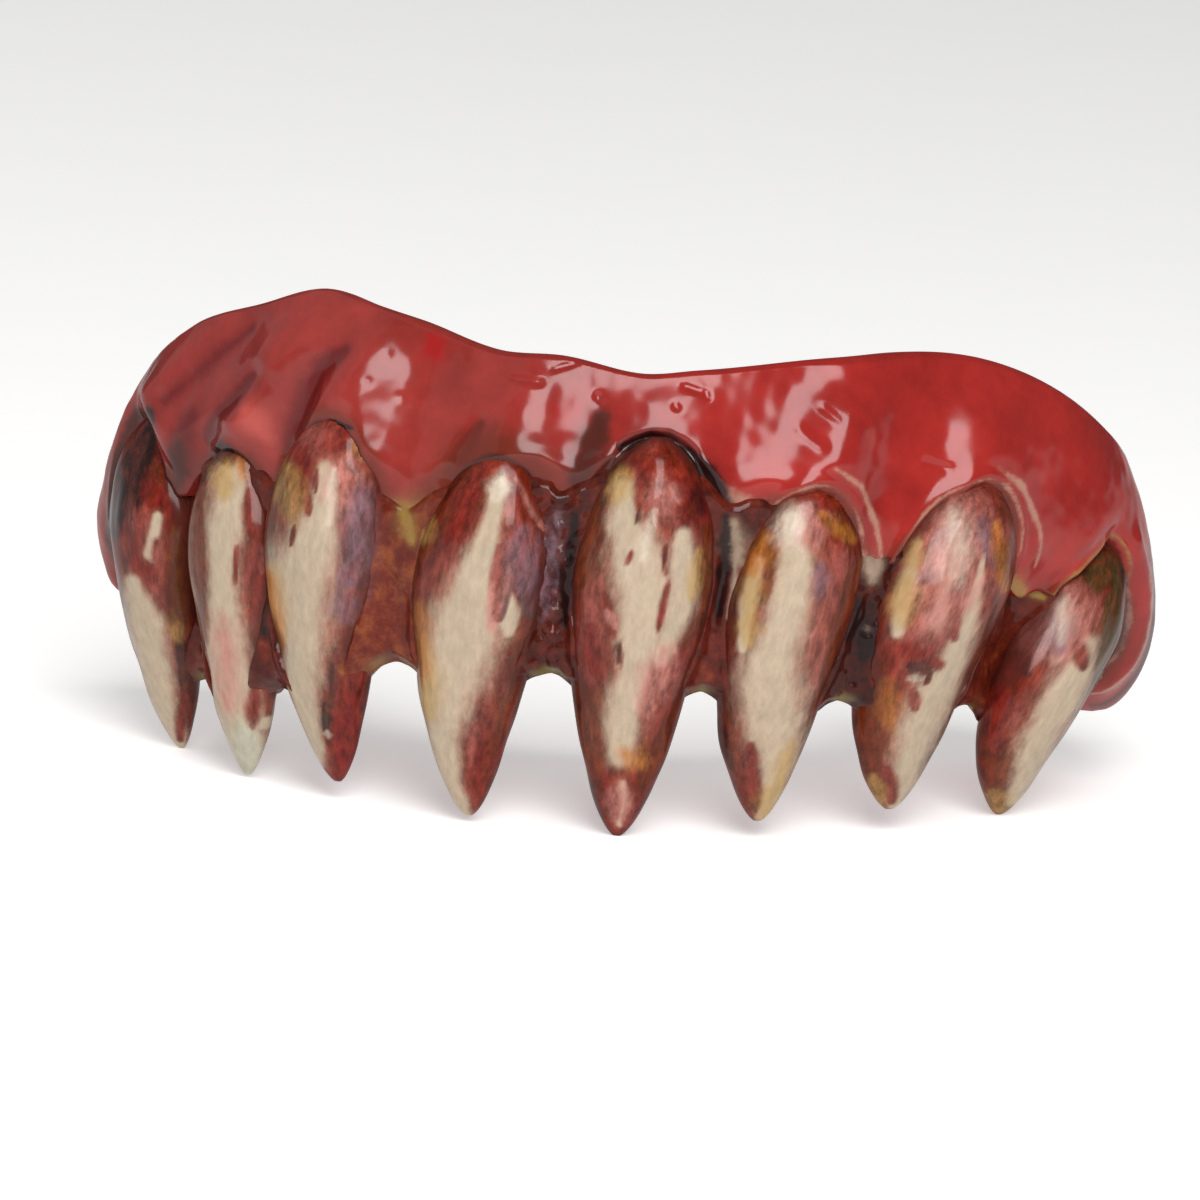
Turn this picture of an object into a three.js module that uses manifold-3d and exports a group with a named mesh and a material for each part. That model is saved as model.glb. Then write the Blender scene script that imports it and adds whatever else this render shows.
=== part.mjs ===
// Demon costume teeth: a slip-on upper veneer in cast dental acrylic.
// A pink gum plate carries the fitting trough behind it. An ivory band joins the row of fangs, and eight
// separate fangs are bedded in the band and the gum. The piece stands on its fang tips.
// Millimetres and degrees, +Z up, the wearer's front towards -Y.
import * as THREE from "three";
import { mergeVertices } from "three/addons/utils/BufferGeometryUtils.js";
import Module from "manifold-3d";

const wasm = await Module();
wasm.setup();

// The arch: a half ellipse that the outer gum face follows. Angle 0 is the front, +90 the right-hand end.
const ARCH_HALF_WIDTH = 29;
const ARCH_DEPTH = 28.5;
const ARCH_END = 86;
const PIECE_GAP = 0.3;

// The fangs, left to right as seen from the front. Angles are round the arch and heights are above the
// standing plane. The neck is the top of the dome that the gum hides, bow bends the axis sideways, and tipOut
// is how far the tip lies outward of the arch line.
const FANGS = [
  { neckAngle: -69, tipAngle: -70, bow: 0.6, neckHeight: 19.4, tipHeight: 0.0, width: 8.0, tipOut: -3.0 },
  { neckAngle: -51.2, tipAngle: -52, bow: 0, neckHeight: 19.3, tipHeight: 0.2, width: 7.2, tipOut: -3.2 },
  { neckAngle: -34.6, tipAngle: -36.4, bow: -1, neckHeight: 22.6, tipHeight: 1.1, width: 7.8, tipOut: -3.4 },
  { neckAngle: -14.5, tipAngle: -18, bow: -0.9, neckHeight: 22.3, tipHeight: 0.4, width: 7.6, tipOut: -3.5 },
  { neckAngle: 2.6, tipAngle: 0.5, bow: -0.3, neckHeight: 23.6, tipHeight: 0.0, width: 7.8, tipOut: -3.5 },
  { neckAngle: 20.2, tipAngle: 17.8, bow: -1.4, neckHeight: 21.1, tipHeight: 1.0, width: 7.6, tipOut: -3.5 },
  { neckAngle: 41, tipAngle: 36, bow: -2.8, neckHeight: 21, tipHeight: 1.3, width: 8.8, tipOut: -3.4 },
  { neckAngle: 66, tipAngle: 56, bow: -4, neckHeight: 16.5, tipHeight: 0.0, width: 8.6, tipOut: -3.2 },
];

// One fang's form: an almond with a domed top, widest at WAIST of its length, tapering to a blunt point.
const WAIST = 0.36;
const DOME_POWER = 0.6;
const TAPER_BEND = 1.3;
const TAPER_POWER = 0.6;
const FRONT_DEPTH = 0.37; // front half depth, as a share of the width
const BACK_DEPTH = 0.27;
const NECK_OUT = -0.9;
const AXIS_BEND = 1.7;
const BOW_BEND = 1.3;
const FANG_SIDES = 14;
const FANG_RINGS = 13;
const END_SHARE = 0.004; // how far the first and last ring lie from the ends of the axis

// The gum plate: its top rim and its lower hem, round the arch.
const RIM = [
  { angle: -86, height: 15 },
  { angle: -74, height: 21.6 },
  { angle: -62, height: 25.5 },
  { angle: -51, height: 27 },
  { angle: -41, height: 28.5 },
  { angle: -33, height: 28 },
  { angle: -17, height: 26.6 },
  { angle: 0.5, height: 25.8 },
  { angle: 7, height: 26.1 },
  { angle: 32, height: 27 },
  { angle: 45, height: 26.4 },
  { angle: 60, height: 23.9 },
  { angle: 74, height: 20.8 },
  { angle: 86, height: 15.5 },
];
const HEM = [
  { angle: -86, height: 6.2 },
  { angle: -76, height: 9.6 },
  { angle: -58, height: 16.3 },
  { angle: -43, height: 17.4 },
  { angle: -26, height: 17.3 },
  { angle: -8, height: 19.1 },
  { angle: 10, height: 19 },
  { angle: 27, height: 16 },
  { angle: 49, height: 13.5 },
  { angle: 62, height: 10.5 },
  { angle: 73, height: 6 },
  { angle: 86, height: 3.8 },
];
const GUM_STATIONS = 58;
const GUM_WALL = 2.4;
const GUM_SWELL = 0.9;
const SWELL_BEND = 0.8;
const RIM_LEAN = 1.1;
const ROOT_BULGE = 0.7;
const ROOT_LEVEL = 0.4; // nearness at which the bulge is nothing
const ROOT_SPREAD = 6; // degrees
const OUTER_SHARES = [0, 0.12, 0.28, 0.46, 0.64, 0.8, 0.92];
const END_SWELL = { left: 0.7, right: 1.2 };
const END_START = 58; // degrees where the ends begin to swell
const END_FULL = 80;
const END_BELLY = { share: 0.45, reach: 0.5 }; // where the end swells most, and over what height
const END_ROUND = 7; // degrees over which the ends close
const END_SCALE = 0.55;
const END_HEART = { out: -5.5, height: 11 };

// The fitting trough behind the gum wall, where the wearer's own teeth go.
const FLOOR_TOP = 12;
const FLOOR_UNDER = 10;
const TROUGH_FRONT = -6.2;
const TROUGH_BACK = -12;
const LIP_WALL = 1.6;
const LIP_TOP = 15;
const CORNER = 0.7;
const WALL_DRAFT = 0.2;
const KNEE_RISE = 0.8; // the thick part of the inner wall ends this far above the hem
const KNEE_SHARE = 0.3;
const KNEE_STEP = 2.6;

// The ivory band between and behind the fangs, with a lower edge that arches between them.
const BAND_START = -80;
const BAND_END = 71;
const BAND_STATIONS = 50;
const BAND_FRONT = -0.8;
const BAND_BACK = -4.3;
const BAND_EDGE = [
  { angle: -80, height: 7 },
  { angle: -58, height: 6.3 },
  { angle: -43, height: 6.4 },
  { angle: -27, height: 8.8 },
  { angle: -9, height: 9.2 },
  { angle: 9, height: 8.8 },
  { angle: 41, height: 7.4 },
  { angle: 71, height: 5.2 },
];
const EDGE_ARCH = 1.6;
const EDGE_SPREAD = 5; // degrees

const acrylic = (color, roughness) => new THREE.MeshStandardMaterial({ color, roughness, metalness: 0 });
const MATERIALS = {
  gum: acrylic(0xa8393b, 0.25),
  ivory: acrylic(0xcdbd9f, 0.3),
  band: acrylic(0x6b2f28, 0.3),
};

// Smooth value of a table's height at an angle.
function heightOf(table) {
  const angles = table.map((row) => row.angle);
  const heights = table.map((row) => row.height);
  const curve = new THREE.CubicInterpolant(angles, heights, 1);
  return (angle) => curve.evaluate(angle)[0];
}

const rimHeight = heightOf(RIM);
const hemHeight = heightOf(HEM);
const edgeHeight = heightOf(BAND_EDGE);

// A point by its arch angle, its distance outward of the arch line, its distance along it, and its height.
function onArch(angle, out, along, height) {
  const turn = THREE.MathUtils.degToRad(angle);
  const foot = new THREE.Vector2(ARCH_HALF_WIDTH * Math.sin(turn), -ARCH_DEPTH * Math.cos(turn));
  const tangent = new THREE.Vector2(ARCH_HALF_WIDTH * Math.cos(turn), ARCH_DEPTH * Math.sin(turn));
  tangent.normalize();
  const normal = new THREE.Vector2(tangent.y, -tangent.x);
  foot.addScaledVector(normal, out).addScaledVector(tangent, along);
  return new THREE.Vector3(foot.x, foot.y, height);
}

// How near an angle is to a fang: 1 at its centre, falling to 0 between fangs.
function fangNearness(angle, column, spread) {
  const nearness = FANGS.map((fang) => Math.exp(-(((angle - fang[column]) / spread) ** 2)));
  return Math.min(1, nearness.reduce((sum, value) => sum + value, 0));
}

// A closed skin through rings of equal count, with both ends capped by the flat sections given.
function loft(rings, firstCap, lastCap) {
  const count = rings[0].length;
  const last = (rings.length - 1) * count;
  const index = [];
  for (let row = 0; row < rings.length - 1; row++) {
    for (let i = 0; i < count; i++) {
      const next = (i + 1) % count;
      const [a, b] = [row * count + i, row * count + next];
      index.push(a, b, a + count, b, b + count, a + count);
    }
  }
  for (const [a, b, c] of THREE.ShapeUtils.triangulateShape(firstCap, [])) {
    index.push(c, b, a);
  }
  for (const [a, b, c] of THREE.ShapeUtils.triangulateShape(lastCap, [])) {
    index.push(last + a, last + b, last + c);
  }
  const geometry = new THREE.BufferGeometry().setFromPoints(rings.flat());
  return geometry.setIndex(index);
}

function toSolid(geometry) {
  const bare = new THREE.BufferGeometry();
  bare.setAttribute("position", geometry.getAttribute("position"));
  bare.setIndex(geometry.getIndex());
  const merged = mergeVertices(bare);
  const mesh = { numProp: 3, vertProperties: merged.attributes.position.array };
  return new wasm.Manifold(new wasm.Mesh({ ...mesh, triVerts: new Uint32Array(merged.index.array) }));
}

function toGeometry(solid) {
  const mesh = solid.getMesh();
  const geometry = new THREE.BufferGeometry();
  geometry.setAttribute("position", new THREE.BufferAttribute(mesh.vertProperties, 3));
  geometry.setIndex(new THREE.BufferAttribute(mesh.triVerts, 1));
  geometry.computeVertexNormals();
  return geometry;
}

// Half width of a fang as a share of its full half width, from 0 at the neck to 1 at the tip.
function fangProfile(share) {
  if (share < WAIST) return (1 - ((WAIST - share) / WAIST) ** 2) ** DOME_POWER;
  return (1 - ((share - WAIST) / (1 - WAIST)) ** TAPER_BEND) ** TAPER_POWER;
}

// A fang as a loft of oval rings down its axis, which curves inward. The clearance swells it into the
// pocket that it leaves in the gum and the band.
function fangGeometry(fang, clearance) {
  const rings = [];
  for (let row = 0; row < FANG_RINGS; row++) {
    const spread = (1 - Math.cos((Math.PI * row) / (FANG_RINGS - 1))) / 2;
    const share = THREE.MathUtils.lerp(END_SHARE, 1 - END_SHARE, spread);
    const half = (fangProfile(share) * fang.width) / 2 + clearance;
    const depthScale = fangProfile(share) * fang.width;
    const bend = fang.bow * Math.sin(Math.PI * share ** BOW_BEND);
    const angle = THREE.MathUtils.lerp(fang.neckAngle, fang.tipAngle, share) + bend;
    const axisOut = NECK_OUT + (fang.tipOut - NECK_OUT) * share ** AXIS_BEND;
    const stretch = THREE.MathUtils.lerp(clearance, -clearance, spread);
    const height = THREE.MathUtils.lerp(fang.neckHeight, fang.tipHeight, spread) + stretch;
    const ring = [];
    for (let side = 0; side < FANG_SIDES; side++) {
      const turn = (2 * Math.PI * side) / FANG_SIDES;
      const reach = Math.sin(turn) > 0 ? FRONT_DEPTH : BACK_DEPTH;
      const out = axisOut + Math.sin(turn) * (reach * depthScale + clearance);
      ring.push(onArch(angle, out, half * Math.cos(turn), height));
    }
    rings.push(ring);
  }
  const cap = rings[0].map((_, side) => {
    const turn = (2 * Math.PI * side) / FANG_SIDES;
    return new THREE.Vector2(Math.cos(turn), Math.sin(turn));
  });
  return loft(rings, cap, cap);
}

// How far the gum's outer face stands out: swelling between hem and rim, with a root bulge above each fang.
function gumOut(angle, share) {
  const swell = GUM_SWELL * Math.sin(Math.PI * share ** SWELL_BEND);
  const overRoot = fangNearness(angle, "neckAngle", ROOT_SPREAD) - ROOT_LEVEL;
  const root = ROOT_BULGE * overRoot * Math.sin(Math.PI * share);
  const endSwell = angle < 0 ? END_SWELL.left : END_SWELL.right;
  const towardsEnd = THREE.MathUtils.smoothstep(Math.abs(angle), END_START, END_FULL);
  const end = endSwell * towardsEnd * (1 - ((share - END_BELLY.share) / END_BELLY.reach) ** 2);
  return swell + root + end - RIM_LEAN * share ** 3;
}

// The gum plate's section: outer face, rim, inner wall, trough floor, low inner lip, underside and rebate.
function gumSection(angle) {
  const rim = rimHeight(angle);
  const hem = hemHeight(angle);
  const under = Math.min(FLOOR_UNDER, hem - PIECE_GAP);
  const kneeLow = Math.max(hem + KNEE_RISE, THREE.MathUtils.lerp(FLOOR_TOP, rim, KNEE_SHARE));
  const kneeHigh = THREE.MathUtils.lerp(kneeLow, rim - CORNER, 0.5);
  const rimOut = gumOut(angle, 1);
  const rebate = BAND_BACK - PIECE_GAP;
  const lipBack = TROUGH_BACK - LIP_WALL;
  return [
    ...OUTER_SHARES.map((share) => [gumOut(angle, share), THREE.MathUtils.lerp(hem, rim, share)]),
    [rimOut - 0.35 * GUM_WALL, rim],
    [rimOut - 0.8 * GUM_WALL, rim - 0.4 * CORNER],
    [rimOut - GUM_WALL, rim - 1.6 * CORNER],
    [TROUGH_FRONT + WALL_DRAFT + KNEE_STEP, kneeHigh],
    [TROUGH_FRONT + WALL_DRAFT, kneeLow],
    [TROUGH_FRONT, FLOOR_TOP + CORNER],
    [TROUGH_FRONT - CORNER, FLOOR_TOP],
    [TROUGH_BACK + CORNER, FLOOR_TOP],
    [TROUGH_BACK, FLOOR_TOP + CORNER],
    [TROUGH_BACK, LIP_TOP - CORNER],
    [TROUGH_BACK - LIP_WALL / 2, LIP_TOP],
    [lipBack, LIP_TOP - CORNER],
    [lipBack, under + CORNER],
    [lipBack + CORNER, under],
    [rebate, under],
    [rebate, hem],
    [BAND_FRONT + PIECE_GAP, hem],
  ];
}

// The section near an end, drawn in towards its heart so that the end closes in a rounded lobe.
function gumRing(angle) {
  const left = Math.min(1, (ARCH_END - Math.abs(angle)) / END_ROUND);
  const scale = END_SCALE + (1 - END_SCALE) * Math.sqrt(1 - (1 - left) ** 2);
  return gumSection(angle).map(([out, height]) => new THREE.Vector2(
    END_HEART.out + (out - END_HEART.out) * scale,
    END_HEART.height + (height - END_HEART.height) * scale,
  ));
}

// The band's section, with rounded lower corners.
function bandSection(angle) {
  const top = hemHeight(angle) - PIECE_GAP;
  const edge = edgeHeight(angle) - EDGE_ARCH * fangNearness(angle, "tipAngle", EDGE_SPREAD);
  const foot = Math.min(edge, top - 2 * CORNER);
  return [
    new THREE.Vector2(BAND_FRONT - CORNER, foot),
    new THREE.Vector2(BAND_FRONT, foot + CORNER),
    new THREE.Vector2(BAND_FRONT, top),
    new THREE.Vector2(BAND_BACK, top),
    new THREE.Vector2(BAND_BACK, foot + CORNER),
    new THREE.Vector2(BAND_BACK + CORNER, foot),
  ];
}

// A body swept round the arch from one angle to another, its section worked out at each station.
function sweep(from, to, stations, sectionAt) {
  const steps = Array.from({ length: stations + 1 }, (_, station) => station / stations);
  const angles = steps.map((step) => THREE.MathUtils.lerp(from, to, step));
  const sections = angles.map(sectionAt);
  const rings = sections.map((section, station) =>
    section.map((point) => onArch(angles[station], point.x, 0, point.y)));
  return loft(rings, sections[0], sections[stations]);
}

// The fangs' pockets are cut out of the gum and the band.
function withPockets(geometry) {
  const pockets = FANGS.map((fang) => toSolid(fangGeometry(fang, PIECE_GAP)));
  return toGeometry(pockets.reduce((solid, pocket) => solid.subtract(pocket), toSolid(geometry)));
}

function piece(name, geometry, material) {
  const mesh = new THREE.Mesh(geometry, material);
  mesh.name = name;
  return mesh;
}

const teeth = new THREE.Group();
const gum = sweep(ARCH_END, -ARCH_END, GUM_STATIONS, gumRing);
const band = sweep(BAND_END, BAND_START, BAND_STATIONS, bandSection);
teeth.add(piece("gum_plate", withPockets(gum), MATERIALS.gum));
teeth.add(piece("tooth_band", withPockets(band), MATERIALS.band));
FANGS.forEach((fang, index) => {
  const geometry = fangGeometry(fang, 0);
  geometry.computeVertexNormals();
  teeth.add(piece(`fang_${index + 1}`, geometry, MATERIALS.ivory));
});

// The origin is under the middle of the piece, on the plane that the fang tips stand on.
const box = new THREE.Box3().setFromObject(teeth);
const middle = box.getCenter(new THREE.Vector3());
teeth.position.set(-middle.x, -middle.y, -box.min.z);

export default teeth;
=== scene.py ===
import math

import bmesh
import bpy
import numpy as np
from mathutils import Matrix, Vector


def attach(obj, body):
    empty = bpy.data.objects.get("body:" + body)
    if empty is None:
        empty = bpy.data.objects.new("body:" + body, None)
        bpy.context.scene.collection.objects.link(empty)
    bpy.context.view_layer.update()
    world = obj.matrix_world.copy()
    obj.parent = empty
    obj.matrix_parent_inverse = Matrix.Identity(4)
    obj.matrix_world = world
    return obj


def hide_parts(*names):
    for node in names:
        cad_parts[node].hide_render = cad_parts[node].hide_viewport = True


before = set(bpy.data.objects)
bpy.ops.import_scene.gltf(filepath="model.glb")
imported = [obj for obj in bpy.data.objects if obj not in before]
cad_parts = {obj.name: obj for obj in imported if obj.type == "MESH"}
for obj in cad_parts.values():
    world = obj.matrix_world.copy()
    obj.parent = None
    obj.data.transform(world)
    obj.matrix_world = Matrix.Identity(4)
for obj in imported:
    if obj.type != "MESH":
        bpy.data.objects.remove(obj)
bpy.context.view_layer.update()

# Demon costume teeth: a cast gum plate, a band and eight hand-painted fangs on one arch.
# Shapes are worked out in millimetres and degrees round the arch, then written in metres.
mm = 0.001
arch = {"halfWidth": 29.0, "depth": 28.5, "middleX": -0.232, "middleY": 15.618}
arcPerDegree = math.radians((arch["halfWidth"] + arch["depth"]) / 2)  # mm along the arch
tiny, farAway = 1e-9, 1e9


def smoothStep(value, low, high):
    part = np.clip((value - low) / (high - low), 0, 1)
    return part * part * (3 - 2 * part)


def bell(value, middle, spread):
    return np.exp(-(((value - middle) / spread) ** 2))


# a smooth curve through (angle, value) pairs, level at both ends
def curveThrough(pairs):
    xs, ys = np.array(pairs, float).T
    rise = np.diff(ys) / np.diff(xs)
    slopes = np.concatenate([[0], (rise[1:] + rise[:-1]) / 2, [0]])

    def valueAt(x):
        x = np.clip(x, xs[0], xs[-1])
        i = np.clip(np.searchsorted(xs, x, side="right") - 1, 0, len(xs) - 2)
        step = xs[i + 1] - xs[i]
        p = (x - xs[i]) / step
        start = (1 + 2 * p) * (1 - p) ** 2 * ys[i] + p * (1 - p) ** 2 * step * slopes[i]
        return start + p * p * (3 - 2 * p) * ys[i + 1] + p * p * (p - 1) * step * slopes[i + 1]

    return valueAt


# places on the arch, from the angle round it and mm outwards, along it and up
def onArch(angle, out, along, height):
    turn = np.radians(angle)
    tangentX = arch["halfWidth"] * np.cos(turn)
    tangentY = arch["depth"] * np.sin(turn)
    length = np.hypot(tangentX, tangentY)
    tangentX, tangentY = tangentX / length, tangentY / length
    x = arch["halfWidth"] * np.sin(turn) + out * tangentY + along * tangentX + arch["middleX"]
    y = -arch["depth"] * np.cos(turn) - out * tangentX + along * tangentY + arch["middleY"]
    return np.stack(np.broadcast_arrays(x, y, height), -1)


# soft random relief, about -1 to 1, with lumps of the given size in mm
def lumps(points, size, seed):
    waveCount, slowest, fastest = 36, 0.6, 1.4
    rng = np.random.default_rng(seed)
    waves = rng.normal(size=(waveCount, 3))
    waves /= np.linalg.norm(waves, axis=1, keepdims=True)
    waves *= rng.uniform(slowest, fastest, (waveCount, 1)) * math.pi / size
    phases = rng.uniform(0, 2 * math.pi, waveCount)
    return np.cos(points @ waves.T + phases).sum(-1) / math.sqrt(waveCount)


# for points near a straight step: how far along it they lie, 0 to 1, and their distance from it
def besideStep(x, y, start, end):
    dx, dy = end[0] - start[0], end[1] - start[1]
    fromX, fromY = x - start[0], y - start[1]
    along = np.clip((fromX * dx + fromY * dy) / (dx * dx + dy * dy + tiny), 0, 1)
    return along, np.hypot(fromX - along * dx, fromY - along * dy)


# distance in mm from points to a line drawn through a path
def lineDistance(x, y, path):
    best = np.full(np.shape(x), farAway)
    for start, end in zip(path, path[1:]):
        best = np.minimum(best, besideStep(x, y, start, end)[1])
    return best


# a path of (angle, height) laid flat, in mm
def layFlat(path):
    return [(angle * arcPerDegree, height) for angle, height in path]


# How paint goes on, for all pieces: how thin a stroke ends, how far a wash spreads past it, and the broken
# edge of a dry brush.
brush = {"endTaper": 0.45, "wash": (-0.4, 0.8), "noiseStep": 3.7, "detail": 6.0, "roughness": 0.72}
noPaint = -1.0  # a paint mask runs from here up to 1, in the middle of a stroke


# Cover of one brush stroke: 1 along its path and 0 a stroke's width away. It is thinner at the ends, unless
# the points of the path bring widths of their own.
def strokeCover(x, y, path, width):
    best = np.full(np.shape(x), noPaint)
    steps = len(path) - 1
    for index, (start, end) in enumerate(zip(path, path[1:])):
        along, away = besideStep(x, y, start, end)
        if len(start) > 2:
            local = start[2] + along * (end[2] - start[2])
        else:
            local = width * (1 - brush["endTaper"] * (2 * (index + along) / steps - 1) ** 2)
        best = np.maximum(best, 1 - away / local)
    return best


# Paint masks from brush strokes. An opaque stroke covers the earlier ones, and a glaze lies over them all.
def brushPaint(x, y, strokes, pigments):
    masks = {name: np.full(np.shape(x), noPaint) for name in pigments}
    for name, width, cover, *path in strokes:
        stroke = strokeCover(x, y, path, width) + cover - 1
        if not pigments[name]["glaze"]:
            for other in masks.keys() - {name}:
                masks[other] = np.minimum(masks[other], 1 - stroke)
        masks[name] = np.maximum(masks[name], stroke)
    return masks


# quads between closed rings, with both ends capped
def ringFaces(rings, count):
    ring, side = np.meshgrid(np.arange(rings - 1), np.arange(count), indexing="ij")
    a, b = ring * count + side, ring * count + (side + 1) % count
    quads = np.stack([a, b, b + count, a + count], -1).reshape(-1, 4).tolist()
    last = (rings - 1) * count
    return quads + [list(range(count))[::-1], list(range(last, last + count))]


def makePiece(name, node, material, points, faces, masks):
    mesh = bpy.data.meshes.new(name)
    mesh.from_pydata((points.reshape(-1, 3) * mm).tolist(), [], faces)
    for key, values in masks.items():
        mesh.attributes.new(key, "FLOAT", "POINT").data.foreach_set("value", np.ravel(values))
    shell = bmesh.new()
    shell.from_mesh(mesh)
    bmesh.ops.recalc_face_normals(shell, faces=shell.faces)
    shell.to_mesh(mesh)
    shell.free()
    mesh.shade_smooth()
    mesh.materials.append(material)
    piece = bpy.data.objects.new(name, mesh)
    bpy.context.scene.collection.objects.link(piece)
    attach(piece, "root")
    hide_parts(node)
    return piece


def toLinear(hexCode):
    channels = [int(hexCode[i:i + 2], 16) / 255 for i in (1, 3, 5)]
    return [c / 12.92 if c <= 0.04045 else ((c + 0.055) / 1.055) ** 2.4 for c in channels] + [1]


# scale of a noise whose patches are about this many mm across
def patternScale(size):
    return 1 / (size * mm)


def addNode(tree, kind, inputs=None, **settings):
    node = tree.nodes.new("ShaderNode" + kind)
    for key, value in settings.items():
        setattr(node, key, value)
    for key, value in (inputs or {}).items():
        if isinstance(value, bpy.types.NodeSocket):
            tree.links.new(value, node.inputs[key])
        else:
            node.inputs[key].default_value = value
    return node


mixFactor, mixFrom, mixTo, mixResult = 0, 6, 7, 2  # sockets of a colour mix node


def startMaterial(name):
    material = bpy.data.materials.new(name)
    material.use_nodes = True
    material.node_tree.nodes.clear()
    return material, material.node_tree


# gives a new ramp its tones, as (position, colour) from the first to the last
def setTones(ramp, tones):
    for element, (position, code) in ((ramp.elements[0], tones[0]), (ramp.elements[1], tones[-1])):
        element.position = position
        element.color = toLinear(code)
    for position, code in tones[1:-1]:
        ramp.elements.new(position).color = toLinear(code)


# one paint: its cover, how soft and ragged its edge is, the size of its broken patches in mm, its wash
def pigment(colour, cover=0.9, soft=0.3, ragged=2.6, patch=0.8333, wash=0.3, glaze=True):
    return dict(colour=colour, cover=cover, soft=soft, ragged=ragged, patch=patch, wash=wash, glaze=glaze)


# Paints each pigment over the colour below: a thin wash, then the paint, broken by noise like a dry brush.
def layPigments(tree, colour, pigments, place):
    washStart, washEnd = brush["wash"]
    for index, (name, paint) in enumerate(pigments.items()):
        paintColour = toLinear(paint["colour"])
        mask = addNode(tree, "Attribute", attribute_name=name).outputs["Fac"]
        wash = addNode(tree, "MapRange", {
            "Value": mask, "From Min": washStart, "From Max": washEnd, "To Max": paint["wash"],
        }, interpolation_type="SMOOTHSTEP").outputs[0]
        colour = addNode(tree, "Mix", {
            mixFactor: wash, mixFrom: colour, mixTo: paintColour,
        }, data_type="RGBA").outputs[mixResult]
        ragged = addNode(tree, "TexNoise", {
            "Vector": place, "W": brush["noiseStep"] * index, "Scale": patternScale(paint["patch"]),
            "Detail": brush["detail"], "Roughness": brush["roughness"],
        }, noise_dimensions="4D").outputs["Fac"]
        edge = addNode(tree, "Math", {0: ragged, 1: paint["ragged"], 2: mask}, operation="MULTIPLY_ADD")
        middle = 0.5 + paint["ragged"] / 2
        cover = addNode(tree, "MapRange", {
            "Value": edge.outputs[0], "From Min": middle - paint["soft"], "From Max": middle + paint["soft"],
            "To Max": paint["cover"],
        }, interpolation_type="SMOOTHSTEP").outputs[0]
        colour = addNode(tree, "Mix", {
            mixFactor: cover, mixFrom: colour, mixTo: paintColour,
        }, data_type="RGBA").outputs[mixResult]
    return colour


# The eight fangs
fangForm = {
    # outline: where the fang is widest as a share of its length, and how its dome and its taper round off
    "waist": 0.36, "domePower": 0.6, "taperBend": 1.3, "taperPower": 0.6,
    "frontDepth": 0.37, "backDepth": 0.27, "neckOut": -0.9, "axisBend": 1.7, "bowBend": 1.3,
    "rings": 150, "sides": 128, "endShare": 0.004,
    # hand carving: lengthwise flutes and lumps, size and lift in mm
    "fluteSize": 0.9, "fluteLift": 0.05, "fluteSeed": 11, "fluteStretch": 0.42, "fluteStep": 40,
    "lumpSize": 2.2, "lumpLift": 0.06, "lumpSeed": 31, "carvedFrom": (0.1, 0.6),
    # grime and painted shade in the joints to the gum and the band, where the fang lies further back
    "jointLevel": 0.4, "jointReach": 1.4, "jointFoot": (6.5, 9.5),
    "gumShare": 0.05,  # share of the length that the gum hides
    # how the line is traced where a fang comes out of a face, and how the face is tucked away inside it
    "traceFrom": 0.002, "traceTo": 0.8, "traceSteps": 320, "traceStride": 4, "traceTop": 0.001,
    "traceNear": 24, "tuckSkin": 0.1, "tuckDepth": 0.8, "tuckReach": 1.2, "farInside": -9.0,
    "pigments": {
        "rose": pigment("#90463E", glaze=False),
        "brown": pigment("#64260E", glaze=False),
        "maroon": pigment("#74201C", glaze=False),
        "plum": pigment("#4A343C", glaze=False),
        "wine": pigment("#421416", glaze=False),
        "black": pigment("#1A0E0E", glaze=False),
        "ivory": pigment("#AE9D87", 0.97, 0.3, 0.9, 1.0, wash=0.18, glaze=False),
        "sage": pigment("#A6A694", 0.8),
        "blush": pigment("#B4766C", 0.72, 0.5),
        "mauve": pigment("#7C5A62", 0.78, 0.5),
        "ochre": pigment("#A8864A", 0.55, 0.6),
        "amber": pigment("#A8682C", 0.75, 0.6),
        "olive": pigment("#4A3A1E", 0.88),
        # a pale glaze laid where the fangs catch the light: painted highlight
        "pale": pigment("#C4B6A4", 0.6, 0.5),
    },
}
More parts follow.
